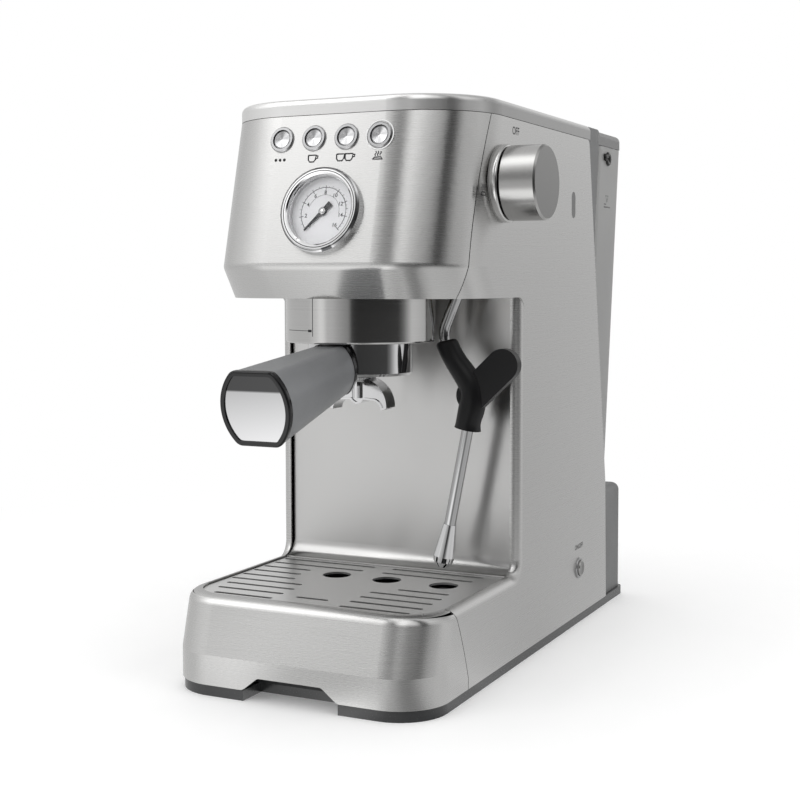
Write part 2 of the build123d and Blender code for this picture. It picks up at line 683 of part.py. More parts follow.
def cord_gland():
    y0, y1 = REAR_Y - HOUSING_WALL, REAR_Y
    gland = rod(GLAND_R - 0.1, (GLAND_X, y0 - 6, GLAND_Z), (GLAND_X, y1, GLAND_Z))
    gland += rod(GLAND_R + 2, (GLAND_X, y1, GLAND_Z), (GLAND_X, y1 + 1.5, GLAND_Z))
    gland += rod(GLAND_R + 2, (GLAND_X, y0 - 3, GLAND_Z), (GLAND_X, y0, GLAND_Z))
    return gland - rod(3.5, (GLAND_X, y0 - 10, GLAND_Z), (GLAND_X, y1 + 5, GLAND_Z))


# ---------------------------------------------------------------- brew group
def group_collar():
    inner = GROUP_R
    ring = turned([(inner, COLLAR_BOTTOM_Z), (COLLAR_R, COLLAR_BOTTOM_Z),
                   (COLLAR_R, HEAD_BOTTOM_Z), (inner, HEAD_BOTTOM_Z)], 0, GROUP_Y)
    edge = ring.edges().filter_by(GeomType.CIRCLE).group_by(Axis.Z)[0].sort_by(SortBy.RADIUS)[-1]
    return fillet(edge, 1.0)


def sector(radius, middle, span, z0, z1):
    """A pie-shaped cutter about the group axis."""
    a0, a1 = math.radians(middle - span / 2), math.radians(middle + span / 2)
    mid = math.radians(middle)
    def at(a):
        return (radius * math.cos(a), radius * math.sin(a), z0)
    line = Line((0, 0, z0), at(a0)) + ThreePointArc(at(a0), at(mid), at(a1)) + Line(at(a1), (0, 0, z0))
    return Pos(0, GROUP_Y, 0) * extrude(make_face(line), z1 - z0, dir=(0, 0, 1))


def group_head():
    low = COLLAR_BOTTOM_Z + 0.6
    body = turned([(LEDGE_R, low), (GROUP_R, low), (GROUP_R, SHELF_Z), (0, SHELF_Z),
                   (0, GROOVE_TOP_Z), (GROOVE_R, GROOVE_TOP_Z), (GROOVE_R, LEDGE_TOP_Z),
                   (LEDGE_R, LEDGE_TOP_Z)], 0, GROUP_Y)
    for turn in (0, 180):
        body -= sector(EAR_R + 0.4, turn - UNLOCK, GATE_SPAN, low - 1, LEDGE_TOP_Z + 0.5)
    return body - upright(3, 0, GROUP_Y, GROOVE_TOP_Z - 1, SHELF_Z + 1)


def shower_screen():
    top = GROOVE_TOP_Z
    disc = upright(BASKET_R - 1.5, 0, GROUP_Y, top - 2.2, top)
    disc -= upright(BASKET_R - 4, 0, GROUP_Y, top - 1.2, top)
    for ring_r, count in ((8, 8), (16, 16)):
        for i in range(count):
            a = 2 * math.pi * i / count
            disc -= upright(0.9, ring_r * math.cos(a), GROUP_Y + ring_r * math.sin(a), top - 3, top)
    return disc


def group_gasket():
    top = GROOVE_TOP_Z
    return turned([(BASKET_R - 1, top - 4), (RIM_R + 1, top - 4), (RIM_R + 1, top), (BASKET_R - 1, top)],
                  0, GROUP_Y)


# ---------------------------------------------------------------- filter holder
def rim_top():
    return GROOVE_TOP_Z - 4 - GAP


def filter_holder():
    top = rim_top() - BASKET_T
    wall_in = HOLDER_R - HOLDER_WALL
    floor = HOLDER_BOTTOM_Z
    body = turned([(0, floor), (HOLDER_R - 1.5, floor), (HOLDER_R, floor + 1.5), (HOLDER_R, top - 8),
                   (RIM_R, top - 6), (RIM_R, top), (wall_in, top), (wall_in, floor + 2.5), (0, floor + 2.5)],
                  0, GROUP_Y)
    ear_low = LEDGE_TOP_Z + GAP
    for turn in (0, 180):
        ear = sector(EAR_R, turn, EAR_SPAN, ear_low, ear_low + EAR_T)
        body += ear - upright(wall_in, 0, GROUP_Y, 0, FAR)
    axis = Vector(*HANDLE_FRONT) - Vector(*HANDLE_REAR)
    tail = Vector(*HANDLE_REAR) - axis.normalized() * 16
    neck = rod(NECK_R, tuple(tail), HANDLE_REAR) - upright(wall_in + 0.5, 0, GROUP_Y, 0, FAR)
    tang = rod(4, HANDLE_REAR, tuple(Vector(*HANDLE_REAR) + axis.normalized() * 45))
    body += neck + tang
    return body - upright(4, 0, GROUP_Y, 0, FAR)


def filter_basket():
    top = rim_top()
    r = BASKET_R
    low = top - BASKET_DEPTH
    t = BASKET_T
    return turned([(0, low), (r - 2, low), (r, low + 2), (r, top - t), (RIM_R - 0.4, top - t),
                   (RIM_R - 0.4, top), (r - t, top), (r - t, low + 2.2), (r - 2.2, low + t), (0, low + t)],
                  0, GROUP_Y)


def handle_frame(distance):
    """A plane across the handle's axis, at a distance from its rear end."""
    axis = (Vector(*HANDLE_FRONT) - Vector(*HANDLE_REAR)).normalized()
    origin = Vector(*HANDLE_REAR) + axis * distance
    return Plane(origin=origin, x_dir=(1, 0, 0), z_dir=axis)


def handle_length():
    return (Vector(*HANDLE_FRONT) - Vector(*HANDLE_REAR)).length


def handle_section(distance, grow=0.0):
    """Bowed sides, flat top and bottom, soft corners."""
    share = distance / handle_length()
    w, h = [a + (b - a) * share for a, b in zip(HANDLE_REAR_SIZE, HANDLE_FRONT_SIZE)]
    bow = HANDLE_BOW * w + grow
    shift = bow - w / 2 - grow
    flat = (Pos(shift, 0) * Circle(bow)) & (Pos(-shift, 0) * Circle(bow)) & Rectangle(2 * w, h + 2 * grow)
    return handle_frame(distance) * fillet(flat.vertices(), HANDLE_CORNER * w)


def handle_piece(start, end, grow=0.0):
    return loft([handle_section(start, grow), handle_section(end, grow)], ruled=True)


def tang_hole():
    return extrude(handle_frame(-1) * Circle(4 + FIT), 47)


def handle_grip():
    grip = handle_piece(RIM_REAR_T, handle_length() - RIM_FRONT_T)
    return grip - tang_hole()


def handle_rims():
    end = handle_length()
    rear = handle_piece(0, RIM_REAR_T, 0.4) - tang_hole()
    front = handle_piece(end - RIM_FRONT_T, end, 0.3)
    front = fillet(front.edges().group_by(Axis.Y)[0], 1.2)
    front -= extrude(offset(handle_section(end - 2.0), -CAP_INSET), 5)
    return Compound([rear, front])


def handle_cap():
    end = handle_length()
    face = offset(handle_section(end - 2.0), -CAP_INSET - 0.05)
    return extrude(face, 1.2)


def double_spout():
    """A hub that splits into two hooked gutters with a raised lip all round."""
    z0 = HOLDER_BOTTOM_Z

    def at(point):
        return (point[0], 0, z0 - point[1])

    mouth = (SPOUT_TIP[0] - SPOUT_MOUTH_W, SPOUT_MOUTH_Z)
    bend, bridge, valley, swell, middle = SPOUT_INNER
    line = ThreePointArc(at(SPOUT_SHOULDER), at(SPOUT_BOW), at(SPOUT_TIP)) + Line(at(SPOUT_TIP), at(mouth))
    line += ThreePointArc(at(mouth), at(bend), at(bridge)) + Line(at(bridge), at(valley))
    line += ThreePointArc(at(valley), at(swell), at(middle))
    line += Polyline(at(middle), at((0, SPOUT_SHOULDER[1])), at(SPOUT_SHOULDER))
    half = make_face(line)
    profile = half + mirror(half, about=Plane.YZ)
    depth = SPOUT_DEPTH / 2
    arms = extrude(profile, depth, both=True)
    for y in (-depth, depth - SPOUT_LIP):
        arms -= Pos(0, y, 0) * extrude(offset(profile, -SPOUT_LIP), SPOUT_LIP, dir=(0, 1, 0))
    hub = turned([(4, z0), (SPOUT_HUB_R, z0), (SPOUT_HUB_R, z0 - 1.5), (SPOUT_NECK_R, z0 - 4),
                  (SPOUT_NECK_R, z0 - 13), (0, z0 - 13), (0, z0 - 6), (4, z0 - 5)])
    for side in (-1, 1):
        x = side * (SPOUT_TIP[0] - SPOUT_MOUTH_W / 2)
        arms -= box(x - 0.8, x + 0.8, -depth + 2, depth - 2, z0 - SPOUT_MOUTH_Z - 1, z0 - SPOUT_MOUTH_Z + 5)
    return Pos(0, GROUP_Y, 0) * (arms - upright(4, 0, 0, z0 - 5, z0 + 1) + hub)


# ---------------------------------------------------------------- gauge and buttons
def gauge_case():
    flange, can, h = GAUGE_R, GAUGE_CAN_R, GAUGE_BEZEL_H
    d = GAUGE_CAN_DEPTH
    profile = [(can - 1.2, 1.6), (can - 1.2, h - 0.6), (can - 0.4, h), (flange - 1.5, h), (flange, h - 1.6),
               (flange, 0), (can, 0), (can, -d), (4, -d), (4, -d - 8), (0, -d - 8), (0, -d + 1.5),
               (can - 1.5, -d + 1.5), (can - 1.5, 1.6)]
    return on_face(0, GAUGE_Z) * turned(profile)


def gauge_dial():
    disc = Pos(0, 0, -2.5) * Cylinder(DIAL_R - 0.1, 1)
    post = Pos(0, 0, -GAUGE_CAN_DEPTH / 2 - 0.75) * Cylinder(5, GAUGE_CAN_DEPTH - 4.5)
    return on_face(0, GAUGE_Z) * (disc + post - Cylinder(0.8 + FIT, 16))


def gauge_lens():
    return on_face(0, GAUGE_Z) * (Pos(0, 0, 1.0) * Cylinder(GAUGE_CAN_R - 1.55, 1.1))


def gauge_needle():
    tail = 6.0
    blade = Polyline((0, -1.1), (NEEDLE_LEN, -0.25), (NEEDLE_LEN, 0.25), (0, 1.1), (-tail, 1.6), (-tail, -1.6),
                     close=True)
    needle = Pos(0, 0, -1.3) * extrude(make_face(blade), 0.5)
    needle += Pos(0, 0, -1.1) * Cylinder(2.2, 0.9)
    needle += Pos(0, 0, -4) * Cylinder(0.8, 6)
    return on_face(0, GAUGE_Z) * (Rot(0, 0, NEEDLE_REST) * needle)


def button_xs():
    return [(i - 1.5) * BUTTON_PITCH for i in range(4)]


def button_rings():
    ring = [(BUTTON_BORE, -3.5), (BUTTON_RING_R - 1.05, -3.5), (BUTTON_RING_R - 1.05, 0), (BUTTON_RING_R, 0),
            (BUTTON_RING_R, 0.6), (BUTTON_RING_R - 0.5, 1.1), (BUTTON_BORE, 1.1)]
    return Compound([on_face(x, BUTTON_Z) * turned(ring) for x in button_xs()])


def button(x):
    profile = [(0, 0.35), (BUTTON_R - 0.6, 0.7), (BUTTON_R, 0.3), (BUTTON_R, -4), (2, -4), (2, -6.3), (0, -6.3)]
    return on_face(x, BUTTON_Z) * turned(profile)


def button_board():
    """Circuit board with one switch behind each button, on two posts from the cover."""
    board = Pos(0, 0, -12) * Box(4 * BUTTON_PITCH, 16, 1.6)
    for x in button_xs():
        board += Pos(x, 0, -9.6) * Box(6, 6, 3.4)
    for x in (-BUTTON_PITCH, 0, BUTTON_PITCH):
        board += Pos(x, 0, (FACE_T - 11.2) / 2 - FACE_T) * Cylinder(1.8, 11.2 - FACE_T)
    return on_face(0, BUTTON_Z) * board


# ---------------------------------------------------------------- right side controls
def turned_x(points, y, z, x=0.0):
    """A solid of revolution about a line parallel to X, from (x, radius) points."""
    face = make_face(Polyline(*[(a, 0, r) for a, r in points], close=True))
    return Pos(x, y, z) * revolve(face, Axis.X)


def knob_ring():
    inner = KNOB_NECK_R + 2
    return turned_x([(0, inner), (0, KNOB_RING_R), (KNOB_RING_T - 0.5, KNOB_RING_R), (KNOB_RING_T, KNOB_RING_R - 0.5),
                     (KNOB_RING_T, inner)], KNOB_Y, KNOB_Z, HALF_W)


def steam_knob():
    end = KNOB_START + KNOB_LEN
    profile = [(KNOB_START, 0), (KNOB_START, KNOB_R), (end - 1, KNOB_R),
               (end, KNOB_R - 1), (end, 0)]
    knob = turned_x(profile, KNOB_Y, KNOB_Z, HALF_W)
    return knob - rod(SPINDLE_R, (HALF_W, KNOB_Y, KNOB_Z), (HALF_W + 14, KNOB_Y, KNOB_Z))


def knob_spindle():
    """The spindle and the dark hub behind the knob's metal body."""
    hub = rod(KNOB_NECK_R, (HALF_W + 1, KNOB_Y, KNOB_Z), (HALF_W + KNOB_START, KNOB_Y, KNOB_Z))
    return hub + rod(SPINDLE_R, (VALVE_X + 8, KNOB_Y, KNOB_Z), (HALF_W + 14, KNOB_Y, KNOB_Z))


def steam_valve():
    body = box(VALVE_X - 8, VALVE_X + 10, KNOB_Y - 9, KNOB_Y + 9, KNOB_Z - 10, KNOB_Z + 10)
    body += rod(7, (VALVE_X + 10, KNOB_Y, KNOB_Z), (INNER_W, KNOB_Y, KNOB_Z))
    body -= rod(SPINDLE_R + FIT, (VALVE_X + 7, KNOB_Y, KNOB_Z), (HALF_W, KNOB_Y, KNOB_Z))
    leg = box(VALVE_X - 8, VALVE_X + 10, KNOB_Y - 14, KNOB_Y - 9, SHELF_Z + SHELF_T, KNOB_Z + 10)
    return body + leg


def side_window():
    frame = Plane(origin=(INNER_W, WINDOW_Y, WINDOW_Z), x_dir=(0, 1, 0), z_dir=(1, 0, 0))
    lens = extrude(frame * SlotOverall(WINDOW_H - 0.2, WINDOW_W - 0.2, rotation=90), SHEET)
    back = extrude(frame * SlotOverall(WINDOW_H + 4, WINDOW_W + 4, rotation=90), -2)
    return lens + back


def power_bezel():
    r = SWITCH_RING_R
    bore = SWITCH_R + GAP
    depth = 14.0
    return turned_x([(0, bore), (1, bore), (1, r - 0.5), (0.5, r), (0, r), (0, r - 0.9), (-SHEET - 0.1, r - 0.9),
                     (-SHEET - 0.1, r + 1.5), (-depth, r + 1.5), (-depth, 0), (-depth + 2, 0), (-depth + 2, bore)],
                    SWITCH_Y, SWITCH_Z, HALF_W)


def power_button():
    return turned_x([(-8, 0), (-8, SWITCH_R), (1.6, SWITCH_R), (2.2, SWITCH_R - 0.6), (1.9, 0)],
                    SWITCH_Y, SWITCH_Z, HALF_W)


# ---------------------------------------------------------------- steam wand
def wand_socket():
    low = UNDERSIDE_Z
    top = BALL_Z + 9
    cup = upright(SOCKET_R, BALL_X, WAND_Y, low, top)
    cup -= upright(SOCKET_R - 2, BALL_X, WAND_Y, low - 1, top - 2)
    return cup - upright(WAND_BORE_R, BALL_X, WAND_Y, low, top + 1)


def wand_seat():
    low, high = BALL_Z - 2.5, BALL_Z + 6.8
    ring = upright(SOCKET_R - 2 - FIT, BALL_X, WAND_Y, low, high)
    ring -= Pos(BALL_X, WAND_Y, BALL_Z) * Sphere(BALL_R + FIT)
    return ring - upright(WAND_BORE_R, BALL_X, WAND_Y, low, high + 1)


def wand_path():
    return FilletPolyline(*[(x, WAND_Y, z) for x, z in WAND_POINTS], radius=WAND_BENDS)


def along(path, share):
    return Plane(origin=path @ share, z_dir=path % share)


def wand_tube():
    path = wand_path()
    tube = sweep(along(path, 0) * Circle(WAND_R), path=path)
    ball = Pos(BALL_X, WAND_Y, BALL_Z) * Sphere(BALL_R)
    return tube + ball - sweep(along(path, 0) * Circle(WAND_BORE_R), path=path)


def wand_sleeve():
    path = wand_path()
    first, last = SLEEVE_SPAN
    steps = 6
    sections = []
    for i in range(steps + 1):
        share = i / steps
        r = SLEEVE_TOP_R + (SLEEVE_LOW_R - SLEEVE_TOP_R) * share
        sections.append(along(path, first + (last - first) * share) * Circle(r))
    sleeve = loft(sections)
    sleeve = fillet(sleeve.edges().sort_by(Axis.Z)[-1], 2.0)
    (x0, z0), (x1, z1) = TAB_ROOT, TAB_END
    length = math.hypot(x1 - x0, z1 - z0)
    frame = Plane(origin=(x0, WAND_Y + TAB_T / 2, z0), x_dir=(x1 - x0, 0, z1 - z0), z_dir=(0, -1, 0))
    tab = extrude(frame * Pos(length / 2, 0) * SlotOverall(length + 2 * TAB_R, 2 * TAB_R), TAB_T)
    return sleeve + tab - sweep(along(path, 0) * Circle(WAND_R), path=path)


def wand_tip():
    path = wand_path()
    end = path @ 1
    frame = Plane(origin=end, z_dir=path % 1)
    profile = [(WAND_R, -2), (WAND_R + 0.4, -2), (TIP_R, TIP_LEN - 6), (TIP_R - 0.6, TIP_LEN - 3),
               (TIP_R - 3, TIP_LEN), (0, TIP_LEN + 0.6), (0, 0), (WAND_R, 0)]
    return Location(frame) * turned(profile)


# ---------------------------------------------------------------- inside
def inner_frame():
    """Folded sheet: an upright behind the backsplash and the shelf that carries the group."""
    back = PLATE_Y + SHEET
    half = SPLASH_HALF_W
    frame = box(-half, half, PLATE_Y, back, PLINTH_H, SHELF_Z)
    frame += box(-half, half, PLATE_Y, back + 12, PLINTH_H, PLINTH_H + SHEET)
    shelf = extrude(outline(SHELF_Z, HEAD_BOTTOM_Y + 10, back, half, HEAD_R - 10), SHELF_T)
    shelf -= upright(SOCKET_R + GAP, BALL_X, WAND_Y, 0, FAR)
    shelf -= upright(3, 0, GROUP_Y, 0, FAR)
    frame += shelf
    for x in (-half + 15, half - 15):
        frame -= rod(8, (x, PLATE_Y - 2, 190), (x, back + 2, 190))
    return frame


def thermoblock():
    x0, x1, y0, y1, h = BOILER
    z = SHELF_Z + SHELF_T
    block = box(x0, x1, y0, y1, z, z + h)
    for i in range(6):
        y = y0 + BOILER_FIN + i * BOILER_PITCH
        block -= box(x0 - 1, x1 + 1, y, y + BOILER_FIN, z + h - 2 * BOILER_FIN, z + h + 1)
    return block


def along_y(r, x, z, y0, y1):
    return rod(r, (x, y0, z), (x, y1, z))


def pump():
    front, back = PUMP_SPAN
    nose = front - PUMP_NOSE[1]
    tail = back + PUMP_TAIL[1]
    w, d, h = PUMP_YOKE
    y = (front + back - d) / 2
    body = along_y(PUMP_R, PUMP_X, PUMP_Z, front, back)
    body += along_y(PUMP_NOSE[0], PUMP_X, PUMP_Z, nose, front)
    body += along_y(PUMP_TAIL[0], PUMP_X, PUMP_Z, back, tail)
    body += box(PUMP_X - w / 2, PUMP_X + w / 2, y, y + d, PUMP_Z - h / 2, PUMP_Z + h / 2)
    return body - along_y(HOSE_BORE_R, PUMP_X, PUMP_Z, nose - 1, tail + 1)


def pump_mounts():
    """Rubber blocks that hold the pump by its nose and its tail."""
    front, back = PUMP_SPAN
    mounts = []
    for y, (r, length) in ((front - PUMP_NOSE[1] / 2, PUMP_NOSE), (back + PUMP_TAIL[1] / 2, PUMP_TAIL)):
        half = 1.5 * PUMP_NOSE[0]
        post = box(PUMP_X - half, PUMP_X + half, y - length / 4, y + length / 4, PLINTH_H, PUMP_Z + half)
        mounts.append(post - along_y(r, PUMP_X, PUMP_Z, y - length, y + length))
    return Compound(mounts)


def solenoid_valve():
    z = SHELF_Z + SHELF_T
    x, y = SOLENOID_X, SOLENOID_Y
    side, height = SOLENOID_BODY
    coil, coil_h = SOLENOID_COIL
    body = box(x - side / 2, x + side / 2, y - side / 2, y + side / 2, z, z + height)
    body += upright(SOLENOID_STEM[0], x, y, z + height, z + SOLENOID_STEM[1])
    low = z + height + 2
    return body + box(x - coil / 2, x + coil / 2, y - coil / 2, y + coil / 2, low, low + coil_h)


def control_board():
    """Circuit board behind the left-hand end of the inner frame, with its large components."""
    x = BOARD_INSET - SPLASH_HALF_W + BOARD_T
    (y0, y1), (z0, z1) = BOARD_SPAN_Y, BOARD_SPAN_Z
    w, h = y1 - y0, z1 - z0
    board = box(x - BOARD_T, x, y0, y1, z0, z1)
    for y, z, r in ((0.22, 0.25, 0.07), (0.44, 0.25, 0.07), (0.72, 0.31, 0.09)):
        tall = 0.18 * w
        board += rod(r * w, (x, y0 + y * w, z0 + z * h), (x + tall, y0 + y * w, z0 + z * h))
    for y, end, z, top, tall in ((0.11, 0.55, 0.56, 0.9, 0.2), (0.67, 0.94, 0.62, 0.92, 0.14)):
        board += box(x, x + tall * w, y0 + y * w, y0 + end * w, z0 + z * h, z0 + top * h)
    return board


def hose(points, bends, r=HOSE_R, bore=HOSE_BORE_R):
    path = FilletPolyline(*points, radius=bends)
    outer = sweep(along(path, 0) * Circle(r), path=path)
    return outer - sweep(along(path, 0) * Circle(bore), path=path)


def water_hoses():
    front, back = PUMP_SPAN
    nose, tail = front - PUMP_NOSE[1], back + PUMP_TAIL[1]
    dock_z = HOUSING_TOP_Z - 24
    turn_y = (tail + DOCK_Y) / 2
    tank_to_pump = hose([(0, DOCK_Y, dock_z), (0, DOCK_Y, 30), (PUMP_X, turn_y, PUMP_Z), (PUMP_X, tail, PUMP_Z)],
                        [12, 8])
    z1 = SHELF_Z + SHELF_T + BOILER[4] / 2
    rise_y = PLATE_Y + SHEET + HOSE_R + 4
    pump_to_boiler = hose([(PUMP_X, nose, PUMP_Z), (PUMP_X, rise_y, PUMP_Z), (PUMP_X, rise_y, z1),
                           (PUMP_X, BOILER[3], z1)], [5, 5])
    return Compound([tank_to_pump, pump_to_boiler, *steam_pipes()])


def steam_pipes():
    """From the boiler to the steam valve, and from the valve down to the wand's socket."""
    z = SHELF_Z + SHELF_T + BOILER[4] / 2
    rise_x = (BOILER[1] + VALVE_X - 8) / 2 + 1
    supply = hose([(BOILER[1], KNOB_Y, z), (rise_x, KNOB_Y, z), (rise_x, KNOB_Y, KNOB_Z),
                   (VALVE_X - 8, KNOB_Y, KNOB_Z)], [4, 4], PIPE_R, PIPE_BORE_R)
    drop = upright(HOSE_R, BALL_X, WAND_Y, BALL_Z + 9, KNOB_Z - 10)
    return [supply, drop - upright(WAND_BORE_R, BALL_X, WAND_Y, 0, FAR)]


def case_screws():
    """Countersunk screws through the plinth into the frame's foot and the housing."""
    screws = []
    floor = PLINTH_H - PLINTH_FLOOR
    wide, narrow = FOOT_X - 8, FOOT_X - 28
    for x in (-wide, 0, wide):
        screws.append(upright(SCREW_R, x, PLATE_Y + 2 * SCREW_R, floor - 2, floor))
    for x in (-narrow, narrow):
        screws.append(upright(SCREW_R, x, REAR_Y - 12, floor - 2, floor))
    return Compound(screws)


# ---------------------------------------------------------------- output
NODES = {
    "base_plate": base_plate, "rubber_feet": rubber_feet, "rear_housing": rear_housing,
    "side_panel_right": side_panel_right, "side_panel_left": side_panel_left,
    "head_cover": head_cover, "head_underside": head_underside, "backsplash": backsplash,
    "top_cover": top_cover, "cup_tray": cup_tray, "rear_cover": rear_cover,
    "group_collar": group_collar, "group_head": group_head, "shower_screen": shower_screen,
    "group_gasket": group_gasket,
    "filter_holder": filter_holder, "filter_basket": filter_basket, "handle_grip": handle_grip,
    "handle_rims": handle_rims, "handle_cap": handle_cap, "double_spout": double_spout,
    "gauge_case": gauge_case, "gauge_dial": gauge_dial, "gauge_lens": gauge_lens,
    "gauge_needle": gauge_needle,
    "button_rings": button_rings, "button_board": button_board,
    "knob_ring": knob_ring, "steam_knob": steam_knob, "knob_spindle": knob_spindle,
    "steam_valve": steam_valve, "side_window": side_window,
    "power_bezel": power_bezel, "power_button": power_button,
    "wand_socket": wand_socket, "wand_seat": wand_seat, "wand_tube": wand_tube,
    "wand_sleeve": wand_sleeve, "wand_tip": wand_tip,
    "tray_front": tray_front, "drip_tray": drip_tray, "grille": grille, "tray_float": tray_float,
    "tank_body": tank_body, "tank_lid": tank_lid, "tank_valve": tank_valve, "tank_dock": tank_dock,
    "cord_gland": cord_gland,
    "inner_frame": inner_frame, "thermoblock": thermoblock, "pump": pump, "pump_mounts": pump_mounts,
    "solenoid_valve": solenoid_valve, "control_board": control_board, "water_hoses": water_hoses,
    "case_screws": case_screws,
}

os.makedirs("parts", exist_ok=True)
for name, make in NODES.items():
    export_step(make(), f"parts/{name}.step")
for i, x in enumerate(button_xs()):
    export_step(button(x), f"parts/button_{i + 1}.step")
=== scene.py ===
"""How the espresso machine looks: materials, printed marks, small fittings and the studio around it."""

import json
import math

import bmesh
import bpy
from mathutils import Matrix, Vector


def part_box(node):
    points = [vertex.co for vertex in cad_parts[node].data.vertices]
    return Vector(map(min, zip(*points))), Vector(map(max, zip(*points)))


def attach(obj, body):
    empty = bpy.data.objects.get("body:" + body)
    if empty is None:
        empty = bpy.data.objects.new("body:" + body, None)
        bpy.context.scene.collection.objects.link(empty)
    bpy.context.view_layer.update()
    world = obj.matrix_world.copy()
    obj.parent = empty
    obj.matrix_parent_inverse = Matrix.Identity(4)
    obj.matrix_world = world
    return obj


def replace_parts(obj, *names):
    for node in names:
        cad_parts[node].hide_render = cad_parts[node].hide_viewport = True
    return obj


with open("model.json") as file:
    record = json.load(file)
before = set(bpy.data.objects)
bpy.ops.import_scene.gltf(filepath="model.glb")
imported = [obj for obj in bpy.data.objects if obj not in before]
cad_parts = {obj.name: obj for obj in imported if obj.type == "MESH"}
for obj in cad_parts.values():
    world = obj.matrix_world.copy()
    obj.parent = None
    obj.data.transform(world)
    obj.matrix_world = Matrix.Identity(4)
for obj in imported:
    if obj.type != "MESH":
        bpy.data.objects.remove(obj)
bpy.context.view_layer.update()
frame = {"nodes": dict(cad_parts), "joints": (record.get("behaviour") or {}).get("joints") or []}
NODES = frame["nodes"]
JOINTS = {joint["name"]: joint for joint in frame["joints"]}
MM = 0.001

# ---------------------------------------------------------------- places taken from the frame
GAUGE = Vector(JOINTS["needle_turn"]["pos_m"])
FACE_OUT = -Vector(JOINTS["needle_turn"]["axis"]).normalized()
FACE_RIGHT = Vector((1, 0, 0))
FACE_UP = FACE_OUT.cross(FACE_RIGHT).normalized()


def centre(node):
    low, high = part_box(node)
    return (low + high) / 2


def height_on_face(node):
    """How far a node reaches out of the sloping face's plane through the gauge."""
    return max((Vector(v.co) - GAUGE).dot(FACE_OUT) for v in NODES[node].data.vertices)


def on_face(point, lift=0.0):
    """A matrix at that point of the sloping face, seen upright from the front."""
    axes = Matrix((FACE_RIGHT, FACE_UP, FACE_OUT)).transposed().to_4x4()
    foot = point - FACE_OUT * (point - GAUGE).dot(FACE_OUT)
    return Matrix.Translation(foot + FACE_OUT * lift) @ axes


def on_side(y, z, lift=0.0):
    """A matrix on the right-hand panel, seen upright from the right."""
    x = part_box("side_panel_right")[1].x
    axes = Matrix(((0, 1, 0), (0, 0, 1), (1, 0, 0))).transposed().to_4x4()
    return Matrix.Translation(Vector((x + lift, y, z))) @ axes


# ---------------------------------------------------------------- node helpers
NOISE_LOW, NOISE_HIGH = 0.3, 0.7  # nearly all of a noise lies between these
VECTOR_A, VECTOR_B, VECTOR_RESULT = 4, 5, 1  # sockets of a mix node that blends vectors


